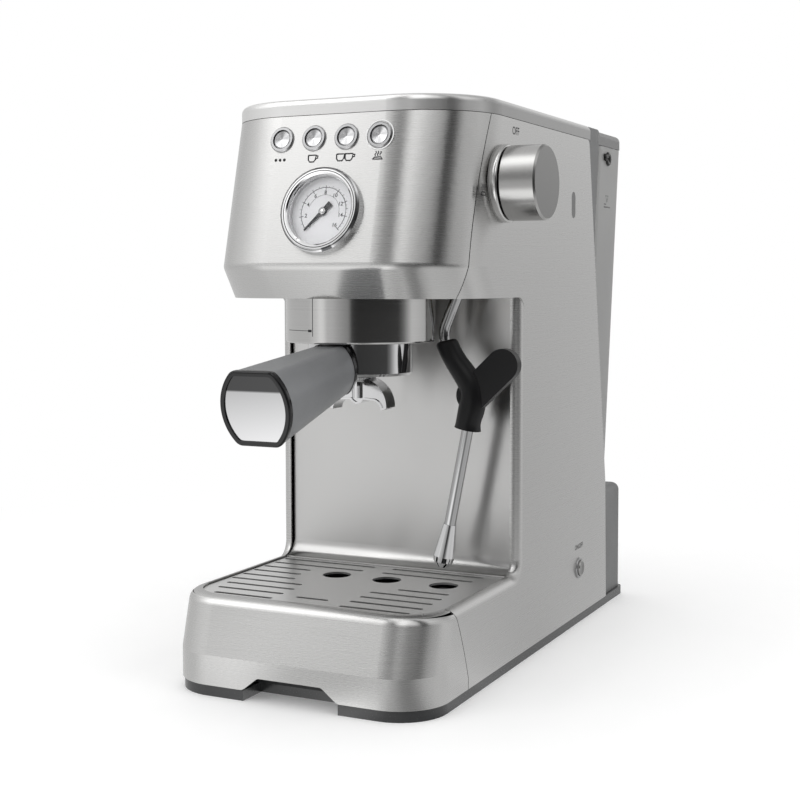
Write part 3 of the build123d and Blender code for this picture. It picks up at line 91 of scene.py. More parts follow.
class Tree:
    """A new material's node tree, with short calls to add and join nodes."""

    def __init__(self, name):
        self.start(bpy.data.materials.new(name), "ShaderNodeOutputMaterial", "Object")

    def start(self, owner, output, coords):
        """Empties the tree of a material or world, and gives it an output and coordinates."""
        owner.use_nodes = True
        self.owner = owner
        self.nodes = owner.node_tree.nodes
        self.nodes.clear()
        self.output = self.add(output)
        place = self.add("ShaderNodeTexCoord")
        self.coords = place.outputs[coords]
        self.normal = place.outputs["Normal"]

    def add(self, kind, **inputs):
        """Adds a node, and sets or links its inputs by their names."""
        node = self.nodes.new(kind)
        for key, value in inputs.items():
            self.put(node.inputs[key.replace("_", " ")], value)
        return node

    def put(self, socket, value):
        """Links a socket to another one, or sets its value."""
        if isinstance(value, bpy.types.NodeSocket):
            self.owner.node_tree.links.new(value, socket)
        else:
            socket.default_value = value

    def operate(self, kind, operation, values):
        node = self.add(kind)
        node.operation = operation
        for socket, value in zip(node.inputs, values):
            self.put(socket, value)
        return node

    def number(self, operation, *values):
        return self.operate("ShaderNodeMath", operation, values).outputs[0]

    def vector(self, operation, *values):
        return self.operate("ShaderNodeVectorMath", operation, values).outputs["Vector"]

    def measure(self, operation, *values):
        """A number from vectors, such as a length."""
        return self.operate("ShaderNodeVectorMath", operation, values).outputs["Value"]

    def remap(self, value, from_low, from_high, to_low=0.0, to_high=1.0, ease="LINEAR"):
        node = self.add("ShaderNodeMapRange", Value=value, From_Min=from_low, From_Max=from_high,
                        To_Min=to_low, To_Max=to_high)
        node.interpolation_type = ease
        return node.outputs[0]

    def mix(self, share, first, second):
        """Blends two colours."""
        node = self.add("ShaderNodeMix", Factor=share)
        node.data_type = "RGBA"
        self.put(node.inputs["A"], first)
        self.put(node.inputs["B"], second)
        return node.outputs["Result"]

    def choose(self, share, first, second):
        """Blends two shaders."""
        node = self.add("ShaderNodeMixShader", Fac=share)
        self.put(node.inputs[1], first)
        self.put(node.inputs[2], second)
        return node.outputs[0]

    def noise(self, scale, stretch=(1, 1, 1), detail=3.0):
        mapping = self.add("ShaderNodeMapping", Vector=self.coords, Scale=stretch)
        noise = self.add("ShaderNodeTexNoise", Vector=mapping.outputs[0], Scale=scale, Detail=detail)
        return noise.outputs["Fac"]

    def spread(self, value, low, high):
        """Maps a noise to low..high."""
        return self.remap(value, NOISE_LOW, NOISE_HIGH, low, high)

    def tint(self, value, dark, light):
        """Maps a noise to a colour between two."""
        ramp = self.add("ShaderNodeValToRGB", Fac=value)
        for mark, place, colour in zip(ramp.color_ramp.elements, (NOISE_LOW, NOISE_HIGH), (dark, light)):
            mark.position = place
            mark.color = (*colour, 1)
        return ramp.outputs[0]

    def bump(self, height, strength, distance):
        return self.add("ShaderNodeBump", Height=height, Strength=strength, Distance=distance).outputs[0]

    def facing(self, axis, low, high):
        """0 to 1 as the surface comes to face along that axis, 0 X, 1 Y or 2 Z, either way."""
        split = self.add("ShaderNodeSeparateXYZ", Vector=self.normal)
        return self.remap(self.number("ABSOLUTE", split.outputs[axis]), low, high)

    def ends(self, colour, other, start):
        """Another tone on the faces that look along X."""
        return self.mix(self.facing(0, start, 0.98), colour, (*other, 1))

    def level_tangent(self):
        """Around Z on the walls, and along Y on what lies flat."""
        tangent = self.add("ShaderNodeTangent")
        tangent.direction_type = "RADIAL"
        tangent.axis = "Z"
        node = self.add("ShaderNodeMix", Factor=self.facing(2, 0.6, 0.8))
        node.data_type = "VECTOR"
        self.put(node.inputs[VECTOR_A], tangent.outputs[0])
        self.put(node.inputs[VECTOR_B], (0, 1, 0))
        return node.outputs[VECTOR_RESULT]

    def surface(self, shader):
        self.put(self.output.inputs["Surface"], shader)

    def shader(self, **inputs):
        node = self.add("ShaderNodeBsdfPrincipled", **inputs)
        self.surface(node.outputs[0])
        return node


def shade(colour, factor):
    return tuple(min(1.0, c * factor) for c in colour)


def brushed(name, colour, rough, stretch, anisotropic=0.0, grain=0.02, depth=0.05, end=1.0):
    """Stainless sheet with fine parallel lines; stretch is small along the lines."""
    t = Tree(name)
    lines = t.noise(1.0, stretch, 4.0)
    base = t.tint(lines, shade(colour, 1 - grain), shade(colour, 1 + grain))
    if end != 1.0:
        base = t.ends(base, shade(colour, end), 0.80)
    wear = t.mix(t.spread(t.noise(9.0), 0.0, 0.12), base, (*shade(colour, 0.86), 1))
    node = t.shader(Base_Color=wear, Roughness=t.spread(lines, rough - 0.015, rough + 0.015),
                    Metallic=1.0, Anisotropic=anisotropic, Anisotropic_Rotation=0.25,
                    Normal=t.bump(lines, depth, 0.02 * MM))
    if anisotropic:
        t.put(node.inputs["Tangent"], t.level_tangent())
    return t.owner


def polished(name, colour, rough):
    """Plated or polished metal with faint smudges."""
    t = Tree(name)
    cloud = t.noise(60.0)
    t.shader(Base_Color=t.tint(cloud, shade(colour, 0.97), colour),
             Roughness=t.spread(cloud, rough, rough + 0.05), Metallic=1.0)
    return t.owner


def satin(name, colour, rough, stretch=None, end=1.0, depth=0.04):
    """Blasted or turned metal; end is the tone of its faces along X, where they differ."""
    t = Tree(name)
    fine = t.noise(1.0, stretch, 2.0) if stretch else t.noise(2600.0)
    base = t.tint(fine, shade(colour, 0.97), shade(colour, 1.03))
    if end != 1.0:
        base = t.ends(base, shade(colour, end), 0.90)
    t.shader(Base_Color=base, Roughness=t.spread(fine, rough - 0.02, rough + 0.02),
             Metallic=1.0, Normal=t.bump(fine, depth, 0.01 * MM))
    return t.owner


def moulded(name, colour, rough, texture=1400.0, depth=0.15, shine=0.5):
    """Moulded plastic or rubber with an eroded skin."""
    t = Tree(name)
    skin = t.noise(texture, detail=2.0)
    t.shader(Base_Color=t.tint(t.noise(25.0), shade(colour, 0.9), shade(colour, 1.08)),
             Roughness=t.spread(skin, rough - 0.05, rough + 0.06),
             Specular_IOR_Level=shine, Normal=t.bump(skin, depth, 0.04 * MM))
    return t.owner


def clear(name, colour, rough, weight, ior=1.45):
    """Tinted see-through plastic, with a little haze; at a weight of 1, glass that casts no shadow."""
    t = Tree(name)
    cloud = t.noise(14.0)
    node = t.shader(Base_Color=t.tint(cloud, shade(colour, 0.94), shade(colour, 1.05)),
                    Roughness=t.spread(cloud, rough, rough + 0.05),
                    Transmission_Weight=weight, IOR=ior)
    if weight == 1.0:
        path = t.add("ShaderNodeLightPath")
        through = t.add("ShaderNodeBsdfTransparent")
        t.surface(t.choose(path.outputs["Is Shadow Ray"], node.outputs[0], through.outputs[0]))
    return t.owner


def mirror(name, colour, height, above):
    """Polished plate with a painted reflection: a dark band painted above that height, the colour
    brightening downwards.
    """
    t = Tree(name)
    split = t.add("ShaderNodeSeparateXYZ", Vector=t.coords)
    ramp = t.add("ShaderNodeValToRGB", Fac=t.remap(split.outputs["Z"], height - 24 * MM, height + 0.4 * MM))
    marks = ramp.color_ramp.elements
    marks.new(0.96)
    for mark, (place, factor) in zip(marks, ((0.0, 1.0), (0.96, 0.66), (1.0, above))):
        mark.position = place
        mark.color = (*shade(colour, factor), 1)
    t.shader(Base_Color=ramp.outputs[0], Roughness=t.spread(t.noise(60.0), 0.08, 0.12), Metallic=1.0)
    return t.owner


def spun(name, colour, middle):
    """Spun metal button: fine rings, with the four-armed fan of light that they give painted into the
    colour as light and dark arms.
    """
    t = Tree(name)
    offset = t.vector("SUBTRACT", t.coords, tuple(middle))
    rings = t.add("ShaderNodeTexNoise")
    rings.noise_dimensions = "1D"
    t.put(rings.inputs["W"], t.measure("LENGTH", offset))
    rings.inputs["Scale"].default_value = 9000.0
    across = t.measure("DOT_PRODUCT", offset, tuple(FACE_RIGHT))
    along = t.measure("DOT_PRODUCT", offset, tuple(FACE_UP))
    arms, start = 4.0, 2.6
    # Painted highlight and shade: a four-armed wave around the middle mixes the colour between a dark tone
    # and the rings' tone.
    painted_fan_wave = t.number("COSINE", t.number("MULTIPLY_ADD", t.number("ARCTAN2", along, across), arms, start))
    fine = t.tint(rings.outputs["Fac"], shade(colour, 0.92), shade(colour, 1.06))
    bright = t.mix(t.remap(painted_fan_wave, -1.0, 1.0, 0.42, 1.0), (*shade(colour, 0.30), 1), fine)
    t.shader(Base_Color=bright, Roughness=t.spread(rings.outputs["Fac"], 0.2, 0.3), Metallic=1.0,
             Anisotropic=0.85, Tangent=t.vector("CROSS_PRODUCT", offset, tuple(FACE_OUT)))
    return t.owner


# ---------------------------------------------------------------- materials
STEEL = (0.60, 0.597, 0.59)
WALL_LINES, FLAT_LINES, RIM_LINES = (20, 20, 5200), (14, 2600, 400), (20, 5200, 5200)
TURNED = (5200, 30, 30)
PRINT = {"texture": 600.0, "depth": 0.02}

steel = brushed("brushed_steel", STEEL, 0.27, WALL_LINES, anisotropic=0.92, grain=0.015, depth=0.035)
steel_back = brushed("brushed_steel_back", STEEL, 0.29, WALL_LINES, anisotropic=0.90, grain=0.008,
                     depth=0.02)
steel_side = brushed("brushed_steel_side", STEEL, 0.28, WALL_LINES, anisotropic=0.90, grain=0.012,
                     depth=0.025)
steel_flat = brushed("brushed_steel_flat", STEEL, 0.30, FLAT_LINES)
# The top cover: a brighter copy of the brushed steel, as painted light, with its faces along X darkened by
# end, as painted shade on the lid's sides.
steel_top_painted_light = brushed("brushed_steel_top_painted_light", (0.84, 0.837, 0.83), 0.30, RIM_LINES, anisotropic=0.90,
                    grain=0.015, depth=0.03, end=0.42)
# A brighter copy of the flat brushed steel, as painted light for the light the grille reflects from above.
grille_steel_painted_light = brushed("grille_steel_painted_light", (0.80, 0.797, 0.79), 0.36, FLAT_LINES)
basket_steel = brushed("basket_steel", (0.6, 0.6, 0.59), 0.25, (20, 20, 900))
chrome = polished("chrome", (0.72, 0.72, 0.725), 0.05)
tube_steel = polished("tube_steel", (0.46, 0.46, 0.462), 0.10)
collar_metal = satin("satin_collar", (0.57, 0.567, 0.56), 0.13, (12, 12, 2600))
knob_metal = satin("satin_knob", (0.46, 0.457, 0.45), 0.24, TURNED, end=0.60, depth=0.01)
knob_edge = satin("satin_knob_ring", (0.66, 0.657, 0.65), 0.24, TURNED, depth=0.01)
ring_metal = satin("ring_metal", (0.44, 0.44, 0.445), 0.24)
cast = satin("cast_aluminium", (0.50, 0.50, 0.50), 0.45)
zinc = satin("zinc_plate", (0.55, 0.55, 0.53), 0.4)
brass = satin("brass", (0.62, 0.45, 0.18), 0.3)

plinth = moulded("plinth_plastic", (0.030, 0.031, 0.032), 0.22, depth=0.05, shine=0.6)
grey_plastic = moulded("grey_plastic", (0.14, 0.141, 0.142), 0.42, shine=0.4)
grip = moulded("grip_plastic", (0.172, 0.176, 0.182), 0.38, texture=1800.0, depth=0.10, shine=0.7)
black_plastic = moulded("black_plastic", (0.006, 0.006, 0.0065), 0.14, texture=900.0, depth=0.02,
                        shine=0.35)
black_dull = moulded("black_dull", (0.014, 0.014, 0.015), 0.5, shine=0.3)
rubber = moulded("black_rubber", (0.005, 0.005, 0.0055), 0.34, texture=2200.0, depth=0.10, shine=0.26)
window = moulded("window_plastic", (0.11, 0.11, 0.11), 0.35, depth=0.05)
board = moulded("circuit_board", (0.02, 0.12, 0.06), 0.4)
hose = moulded("silicone", (0.7, 0.7, 0.66), 0.45)
smoke = clear("smoke_plastic", (0.42, 0.42, 0.415), 0.28, weight=0.45)
lid_smoke = clear("lid_plastic", (0.16, 0.16, 0.16), 0.22, weight=0.25)
lens = clear("lens", (1.0, 1.0, 1.0), 0.0, weight=1.0, ior=1.2)

dial = moulded("dial_face", (0.90, 0.90, 0.92), 0.5, **PRINT)
ink = moulded("dark_print", (0.020, 0.020, 0.022), 0.5, shine=0.2, **PRINT)
faint = moulded("faint_print", (0.17, 0.17, 0.17), 0.5, shine=0.2, **PRINT)
needle = moulded("needle_paint", (0.025, 0.027, 0.03), 0.35, shine=0.3, **PRINT)
white_light = moulded("lit_ring", (0.9, 0.9, 0.9), 0.3, **PRINT)

LOOK = {
    "side_panel_right": steel_side, "side_panel_left": steel_side, "head_cover": steel,
    "head_underside": steel_flat, "backsplash": steel_back, "tray_front": steel,
    "top_cover": steel_top_painted_light, "cup_tray": steel_flat, "grille": grille_steel_painted_light,
    "base_plate": plinth, "rubber_feet": rubber, "rear_housing": grey_plastic, "rear_cover": grey_plastic,
    "cord_gland": black_dull, "drip_tray": black_dull, "tray_float": black_dull,
    "tank_body": smoke, "tank_lid": lid_smoke, "tank_valve": black_dull, "tank_dock": black_dull,
    "group_collar": collar_metal, "group_head": cast, "group_gasket": rubber,
    "shower_screen": basket_steel, "filter_basket": basket_steel, "filter_holder": chrome,
    "double_spout": chrome, "handle_grip": grip, "handle_rims": black_plastic,
    "gauge_case": chrome, "gauge_dial": dial, "gauge_lens": lens, "gauge_needle": needle,
    "button_rings": ring_metal, "power_bezel": ring_metal, "power_button": knob_metal,
    "steam_knob": knob_metal, "knob_ring": knob_edge, "knob_spindle": black_dull, "side_window": window,
    "wand_socket": brass, "wand_seat": black_dull, "wand_tube": tube_steel, "wand_sleeve": rubber,
    "wand_tip": chrome, "steam_valve": brass, "solenoid_valve": brass, "thermoblock": cast,
    "inner_frame": zinc, "case_screws": zinc, "pump": zinc, "pump_mounts": rubber,
    "button_board": board, "control_board": board, "water_hoses": hose,
}


def dress(node, material):
    mesh = NODES[node].data
    mesh.materials.clear()
    mesh.materials.append(material)


for node, material in LOOK.items():
    dress(node, material)
# The handle cap's colour holds a painted reflection: a dark band painted over its upper part, lighter
# below.
cap_low, cap_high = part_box("handle_cap")
painted_band_foot = cap_low.z + (cap_high.z - cap_low.z) * 0.76
dress("handle_cap", mirror("handle_cap_painted_reflection", (0.55, 0.55, 0.555), painted_band_foot, 0.10))
for i in range(1, 5):
    dress(f"button_{i}", spun(f"spun_face_{i}", (0.86, 0.86, 0.87), centre(f"button_{i}")))


# ---------------------------------------------------------------- piece helpers
def piece(name, bm, material, body, matrix=None):
    """Makes an object from a mesh, in metres, and lets it ride on a body."""
    mesh = bpy.data.meshes.new(name)
    bmesh.ops.recalc_face_normals(bm, faces=bm.faces)
    bm.to_mesh(mesh)
    bm.free()
    for face in mesh.polygons:
        face.use_smooth = True
    mesh.materials.append(material)
    obj = bpy.data.objects.new(name, mesh)
    bpy.context.scene.collection.objects.link(obj)
    if matrix is not None:
        obj.matrix_world = matrix
    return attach(obj, body)


def bar(bm, rows, closed=False):
    """Joins cross-sections of four points each, and caps the ends where it isn't closed."""
    following = rows[1:] + rows[:1] if closed else rows[1:]
    for a, b in zip(rows, following):
        for k in range(4):
            bm.faces.new((a[k], a[(k + 1) % 4], b[(k + 1) % 4], b[k]))
    if not closed:
        bm.faces.new(rows[0])
        bm.faces.new(rows[-1][::-1])


def stroke(bm, points, width, thick=0.06, closed=False):
    """A thin raised line of even width through 2-D points, in millimetres."""
    pts = [Vector((x * MM, y * MM, 0)) for x, y in points]
    count = len(pts)
    half = width * MM / 2
    rise = Vector((0, 0, thick * MM))
    rows = []
    for i, p in enumerate(pts):
        before = pts[i - 1] if i or closed else p
        after = pts[(i + 1) % count] if i < count - 1 or closed else p
        way = (after - before).normalized()
        side = Vector((-way.y, way.x, 0)) * half
        rows.append([bm.verts.new(v) for v in (p + side, p - side, p - side + rise, p + side + rise)])
    bar(bm, rows, closed)


def arc(cx, cy, r, start, end, steps=24):
    """Points on an arc, angles in degrees from +X."""
    return [(cx + r * math.cos(math.radians(start + (end - start) * i / steps)),
             cy + r * math.sin(math.radians(start + (end - start) * i / steps)))
            for i in range(steps + 1)]


def ring(bm, r, width, thick, steps):
    """A raised circle about the origin, in millimetres."""
    stroke(bm, arc(0, 0, r, 0, 360, steps)[:-1], width, thick, True)


def lathe(bm, profile, steps=48):
    """Turns (radius, height) points, in millimetres, about local Z."""
    rings = []
    for i in range(steps):
        a = 2 * math.pi * i / steps
        rings.append([bm.verts.new((r * MM * math.cos(a), r * MM * math.sin(a), z * MM))
                      for r, z in profile])
    for i in range(steps):
        a, b = rings[i], rings[(i + 1) % steps]
        for k in range(len(profile) - 1):
            if profile[k][0] > 0 or profile[k + 1][0] > 0:
                bm.faces.new((a[k], b[k], b[k + 1], a[k + 1]))
    bmesh.ops.remove_doubles(bm, verts=bm.verts, dist=1e-7)


def words(name, text, size, matrix):
    """Printed words or numbers on the machine, their height in millimetres."""
    curve = bpy.data.curves.new(name, "FONT")
    curve.body = text
    curve.size = size * MM
    curve.extrude = 0.03 * MM
    curve.offset = 0.05 * MM
    curve.align_x = "CENTER"
    curve.align_y = "CENTER"
    curve.materials.append(ink)
    obj = bpy.data.objects.new(name, curve)
    bpy.context.scene.collection.objects.link(obj)
    obj.matrix_world = matrix
    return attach(obj, "machine")


# ---------------------------------------------------------------- gauge
SCALE_START, SCALE_SWEEP, SCALE_TOP = 225.0, 270.0, 16
SCALE_R, NUMBER_R, INNER_R = 13.2, 10.4, 9.2
LONG_TICK_IN, LONG_TICK_OUT, SHORT_TICK_OUT = 11.9, 14.4, 13.8


def scale_angle(value):
    return math.radians(SCALE_START - SCALE_SWEEP * value / SCALE_TOP)


def gauge_scale():
    """The scale's two arcs, with a tick for each half unit and a longer one for each whole unit."""
    bm = bmesh.new()
    stroke(bm, arc(0, 0, SCALE_R, SCALE_START, SCALE_START - SCALE_SWEEP, 72), 0.28)
    stroke(bm, arc(0, 0, INNER_R, SCALE_START - 62, SCALE_START - 232, 48), 0.16)
    for i in range(SCALE_TOP * 2 + 1):
        a = scale_angle(i / 2)
        inner = SCALE_R if i % 4 else LONG_TICK_IN
        outer = SHORT_TICK_OUT if i % 2 else LONG_TICK_OUT
        ends = [(r * math.cos(a), r * math.sin(a)) for r in (inner, outer)]
        stroke(bm, ends, 0.18 if i % 4 else 0.3)
    scale_at = on_face(GAUGE, height_on_face("gauge_dial"))
    piece("gauge_scale", bm, ink, "machine", scale_at)
    for value in range(0, SCALE_TOP + 1, 2):
        a = scale_angle(value)
        at = Matrix.Translation((NUMBER_R * MM * math.cos(a), NUMBER_R * MM * math.sin(a), 0))
        words(f"gauge_number_{value}", str(value), 2.9, scale_at @ at)


def gauge_case_lines():
    """Two dark lines of painted reflection, where the steps of the polished bezel show dark."""
    low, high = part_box("gauge_case")
    case_r = (high.x - low.x) / 2 / MM
    bm = bmesh.new()
    # Dark rings of ink, as painted reflection in the bezel's steps.
    ring(bm, case_r - 0.75, 0.30, 0.12, 96)
    ring(bm, case_r - 2.35, 0.45, 0.12, 96)
    piece("gauge_case_lines", bm, ink, "machine", on_face(GAUGE, height_on_face("gauge_case") - 0.1 * MM))


def needle_cap():
    bm = bmesh.new()
    lathe(bm, [(0, 0), (1.9, 0), (1.9, 0.5), (1.5, 0.9), (0, 1.0)])
    at = on_face(GAUGE, height_on_face("gauge_needle") - 0.2 * MM)
    piece("needle_cap", bm, chrome, "gauge_needle", at)


gauge_scale()
gauge_case_lines()
needle_cap()

# ---------------------------------------------------------------- buttons
ICON_DROP = 11.4 * MM
CUP_EDGE = ((-2.3, 1.9), (2.3, 1.9), (2.1, -0.6), (1.2, -1.8), (-1.2, -1.8), (-2.1, -0.6), (-2.3, 1.9))
CUP_HANDLE = ((2.2, 1.4), (3.5, 1.4), (3.4, 0.3), (2.1, 0.0))
WISP = ((0, 0.1), (-0.4, 0.9), (0.3, 1.7), (0, 2.6))


def moved(points, by):
    return [(x + by, y) for x, y in points]


def trapezoid(half, y, top_half, top_y):
    return [(-half, y), (half, y), (top_half, top_y), (-top_half, top_y), (-half, y)]


def icon(name, column, strokes, width=0.72):
    """An icon under a button."""
    bm = bmesh.new()
    for points in strokes:
        stroke(bm, points, width)
    at = centre(f"button_{column}") - FACE_UP * ICON_DROP
    piece(name, bm, ink, "machine", on_face(at, 0.02 * MM))


def lit_ring():
    """The pale ring around the fourth button."""
    bm = bmesh.new()
    ring(bm, 7.75, 0.6, 0.3, 64)
    piece("lit_ring", bm, white_light, "machine", on_face(centre("button_4")))


STEAM = [moved(WISP, x) for x in (-1.3, 0.1, 1.5)]
icon("icon_dots", 1, [arc(x, 0, 0.5, 0, 360, 12) for x in (-2.6, 0, 2.6)])
icon("icon_cup", 2, [CUP_EDGE, CUP_HANDLE])
icon("icon_two_cups", 3, [moved(CUP_EDGE, -2.5), moved(CUP_EDGE, 2.5), moved(CUP_HANDLE, 2.5)])
icon("icon_steam", 4, STEAM + [trapezoid(2.9, -1.7, 1.8, -0.6)], 0.62)
lit_ring()


# ---------------------------------------------------------------- knob and right side
def knob_ring():
    """The deep ring behind the steam knob."""
    low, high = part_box("knob_ring")
    outer = (high.z - low.z) / 2 / MM
    inner = 15.6
    bm = bmesh.new()
    lathe(bm, [(inner, 0), (outer, 0), (outer, 3.9), (outer - 0.2, 4.5), (outer - 0.8, 4.8),
               (inner + 1.0, 4.8), (inner + 0.4, 4.5), (inner, 3.9), (inner, 0)], 96)
    at = Matrix.Translation((low.x, (low.y + high.y) / 2, (low.z + high.z) / 2))
    at = at @ Matrix.Rotation(math.pi / 2, 4, "Y")
    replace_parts(piece("knob_ring_deep", bm, knob_edge, "machine", at), "knob_ring")


def side_marks():
    """The steam knob's and the power button's marks."""
    knob = Vector(JOINTS["knob_turn"]["pos_m"])
    words("knob_off", "OFF", 6.0, on_side(knob.y + 20 * MM, knob.z + 29.5 * MM))
    bm = bmesh.new()
    for points in STEAM:
        stroke(bm, [(x * 1.3, y * 1.3) for x, y in points], 0.7)
    stroke(bm, trapezoid(3.2, -2.4, 2.0, -0.8), 0.7)
    piece("knob_steam", bm, ink, "machine", on_side(knob.y - 26.5 * MM, knob.z - 5 * MM, 0.02 * MM))
    power = centre("power_button")
    words("power_word", "ON/OFF", 4.2, on_side(power.y, power.z + 13.5 * MM))


knob_ring()
side_marks()


# ---------------------------------------------------------------- collar
def collar_strip(bm, start, end, z0, z1, steps=24):
    """A strip around the collar, between two angles from the front, in degrees."""
    low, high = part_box("group_collar")
    middle = (low + high) / 2
    inner = (high.x - low.x) / 2 - 0.2 * MM
    outer = (high.x - low.x) / 2 + 0.05 * MM
    rows = []
    for i in range(steps + 1):
        a = math.radians(start + (end - start) * i / steps)
        rows.append([bm.verts.new((middle.x + r * math.sin(a), middle.y - r * math.cos(a), z))
                     for r, z in ((inner, z0), (outer, z0), (outer, z1), (inner, z1))])
    bar(bm, rows)


def collar_mark():
    """A line down the collar where the holder locks, and an arrow that leads to it."""
    low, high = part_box("group_collar")
    line = -11.0
    bm = bmesh.new()
    collar_strip(bm, line - 0.25, line + 0.25, low.z + 4 * MM, high.z, 2)
    collar_strip(bm, line - 32, line - 3, low.z + 6.8 * MM, low.z + 7.1 * MM)
    collar_strip(bm, line - 4.5, line - 1, low.z + 6.3 * MM, low.z + 7.6 * MM, 4)
    piece("collar_mark", bm, ink, "machine")


collar_mark()


# ---------------------------------------------------------------- tank
def tank_fitting(side, word, tank_high):
    """The round boss high on a side of the tank, with its lever."""
    at = Matrix.Translation((side * tank_high.x, 126.5 * MM, tank_high.z - 16.5 * MM))
    outwards = Matrix.Rotation(math.pi / 2, 4, "Y") @ Matrix.Scale(side, 4, (0, 0, 1))
    bm = bmesh.new()
    lathe(bm, [(0, -1.0), (4.6, -1.0), (4.6, 0.5), (4.0, 1.2), (2.2, 1.3), (2.0, 0.5), (0, 0.5)])
    piece(f"tank_pivot_{word}", bm, black_plastic, "tank", at @ outwards)
    bm = bmesh.new()
    stroke(bm, [(0.4, -2.0), (0.8, -9.0)], 4.2, 1.2)
    stroke(bm, [(-0.8, 0), (0.8, 0)], 0.8, 1.6)
    axes = Matrix(((0, 0, 1), (0, side, 0), (side, 0, 0))).transposed().to_4x4()
    piece(f"tank_clip_{word}", bm, black_plastic, "tank", at @ axes)


def tank_level(tank_high):
    """A plain arrowhead over two bars, on the right."""
    bm = bmesh.new()
    stroke(bm, [(-2.8, 7.4), (2.8, 7.4), (0, 3.4)], 0.8, closed=True)
    stroke(bm, [(-6.5, 0), (6.5, 0)], 0.9)
    stroke(bm, [(-6.5, 1.9), (-1.5, 1.9)], 0.7)
    past_panel = tank_high.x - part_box("side_panel_right")[1].x
    piece("tank_level", bm, faint, "tank", on_side(125 * MM, 264 * MM, past_panel + 0.02 * MM))


tank_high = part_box("tank_body")[1]
tank_fitting(1, "right", tank_high)
tank_fitting(-1, "left", tank_high)
tank_level(tank_high)

# ---------------------------------------------------------------- camera
AZIMUTH, PITCH, ROLL = math.radians(25.8), math.radians(-3.4), math.radians(-0.1)
camera = bpy.data.objects.new("camera", bpy.data.cameras.new("camera"))
camera.data.lens = 62.81
camera.data.shift_y = -0.05
camera.location = (0.3540, -0.7668, 0.2183)
look = Vector((-math.sin(AZIMUTH) * math.cos(PITCH), math.cos(AZIMUTH) * math.cos(PITCH), math.sin(PITCH)))
upright = look.to_track_quat("-Z", "Y").to_matrix()
camera.rotation_euler = (upright @ Matrix.Rotation(ROLL, 3, "Z")).to_euler()
bpy.context.scene.collection.objects.link(camera)
bpy.context.scene.camera = camera

# ---------------------------------------------------------------- what metal sees
# Pairs of degrees from the front towards the right, and brightness: of the floor close by, of the
# floor further off and the level directions, of those a little higher up, and of those well up.
UNDER = ((-180, 0.65), (-60, 0.72), (-42, 1.20), (-32, 1.50), (-24, 1.70), (-6, 1.70), (2, 1.20),
         (10, 0.60), (24, 0.30), (34, 0.26), (48, 0.60), (60, 0.70), (78, 0.66), (95, 0.64),
         (112, 0.74), (140, 0.60), (158, 0.52), (180, 0.65))
LEVEL = ((-180, 0.65), (-60, 0.66), (-44, 0.86), (-38, 1.06), (-32, 0.98), (-26, 0.68), (-17, 0.64),
         (-8, 0.50), (1, 0.40), (9, 0.32), (13, 0.05), (20, 0.015), (87, 0.03), (96, 0.16), (103, 0.40),
         (112, 0.74), (124, 0.70), (140, 0.60), (158, 0.52), (160, 0.49), (162, 0.56), (170, 0.62),
         (180, 0.65))
RAISED = ((-180, 0.62), (-110, 0.70), (-88, 0.86), (-66, 0.92), (-50, 0.70), (-36, 0.34), (-31, 0.42),
          (-28, 0.60), (-26, 0.36), (-18, 0.32), (2, 0.20), (18, 0.10), (33, 0.03), (52, 0.01), (66, 0.03),
          (73, 0.12), (82, 0.40), (90, 0.62), (103, 0.70), (113, 0.72), (135, 0.64), (152, 0.85),
          (164, 1.00), (180, 0.62))
HIGH = ((-180, 0.60), (-92, 1.00), (-68, 1.90), (-55, 2.40), (-38, 2.60), (-34, 2.60), (-33, 2.20),
        (-32, 1.60), (-31, 1.05), (-30, 0.60), (-22, 0.40), (-8, 0.26), (-2, 0.45), (4, 1.60), (11, 2.10),
        (19, 1.80), (27, 1.50), (36, 1.30), (48, 1.10), (57, 0.80), (63, 0.08), (72, 0.04), (78, 0.40),
        (85, 1.00), (96, 0.90), (125, 0.60), (150, 0.34), (172, 0.34), (180, 0.60))
BRIGHTEST = 2.6


def compass(t, middle=(0, 0, 0)):
    """East, south and up of the tree's coordinates, from a middle."""
    shift = t.add("ShaderNodeMapping", Vector=t.coords, Location=tuple(-v for v in middle))
    split = t.add("ShaderNodeSeparateXYZ", Vector=shift.outputs[0])
    return split.outputs["X"], t.number("MULTIPLY", split.outputs["Y"], -1.0), split.outputs["Z"]


def around(t, east, south, stops):
    """Brightness, as a share of the brightest, by the direction seen from above."""
    turn = t.remap(t.number("ARCTAN2", east, south), -math.pi, math.pi)
    ramp = t.add("ShaderNodeValToRGB", Fac=turn)
    marks = ramp.color_ramp.elements
    while len(marks) < len(stops):
        marks.new(0.5)
    for mark, (degrees, bright) in zip(marks, stops):
        mark.position = degrees / 360 + 0.5
        mark.color = (*(bright / BRIGHTEST,) * 3, 1)
    return ramp.outputs[0]


def blend(t, value, low, high, first, second):
    """Goes smoothly from one colour to another as a value rises."""
    return t.mix(t.remap(value, low, high, ease="SMOOTHSTEP"), first, second)


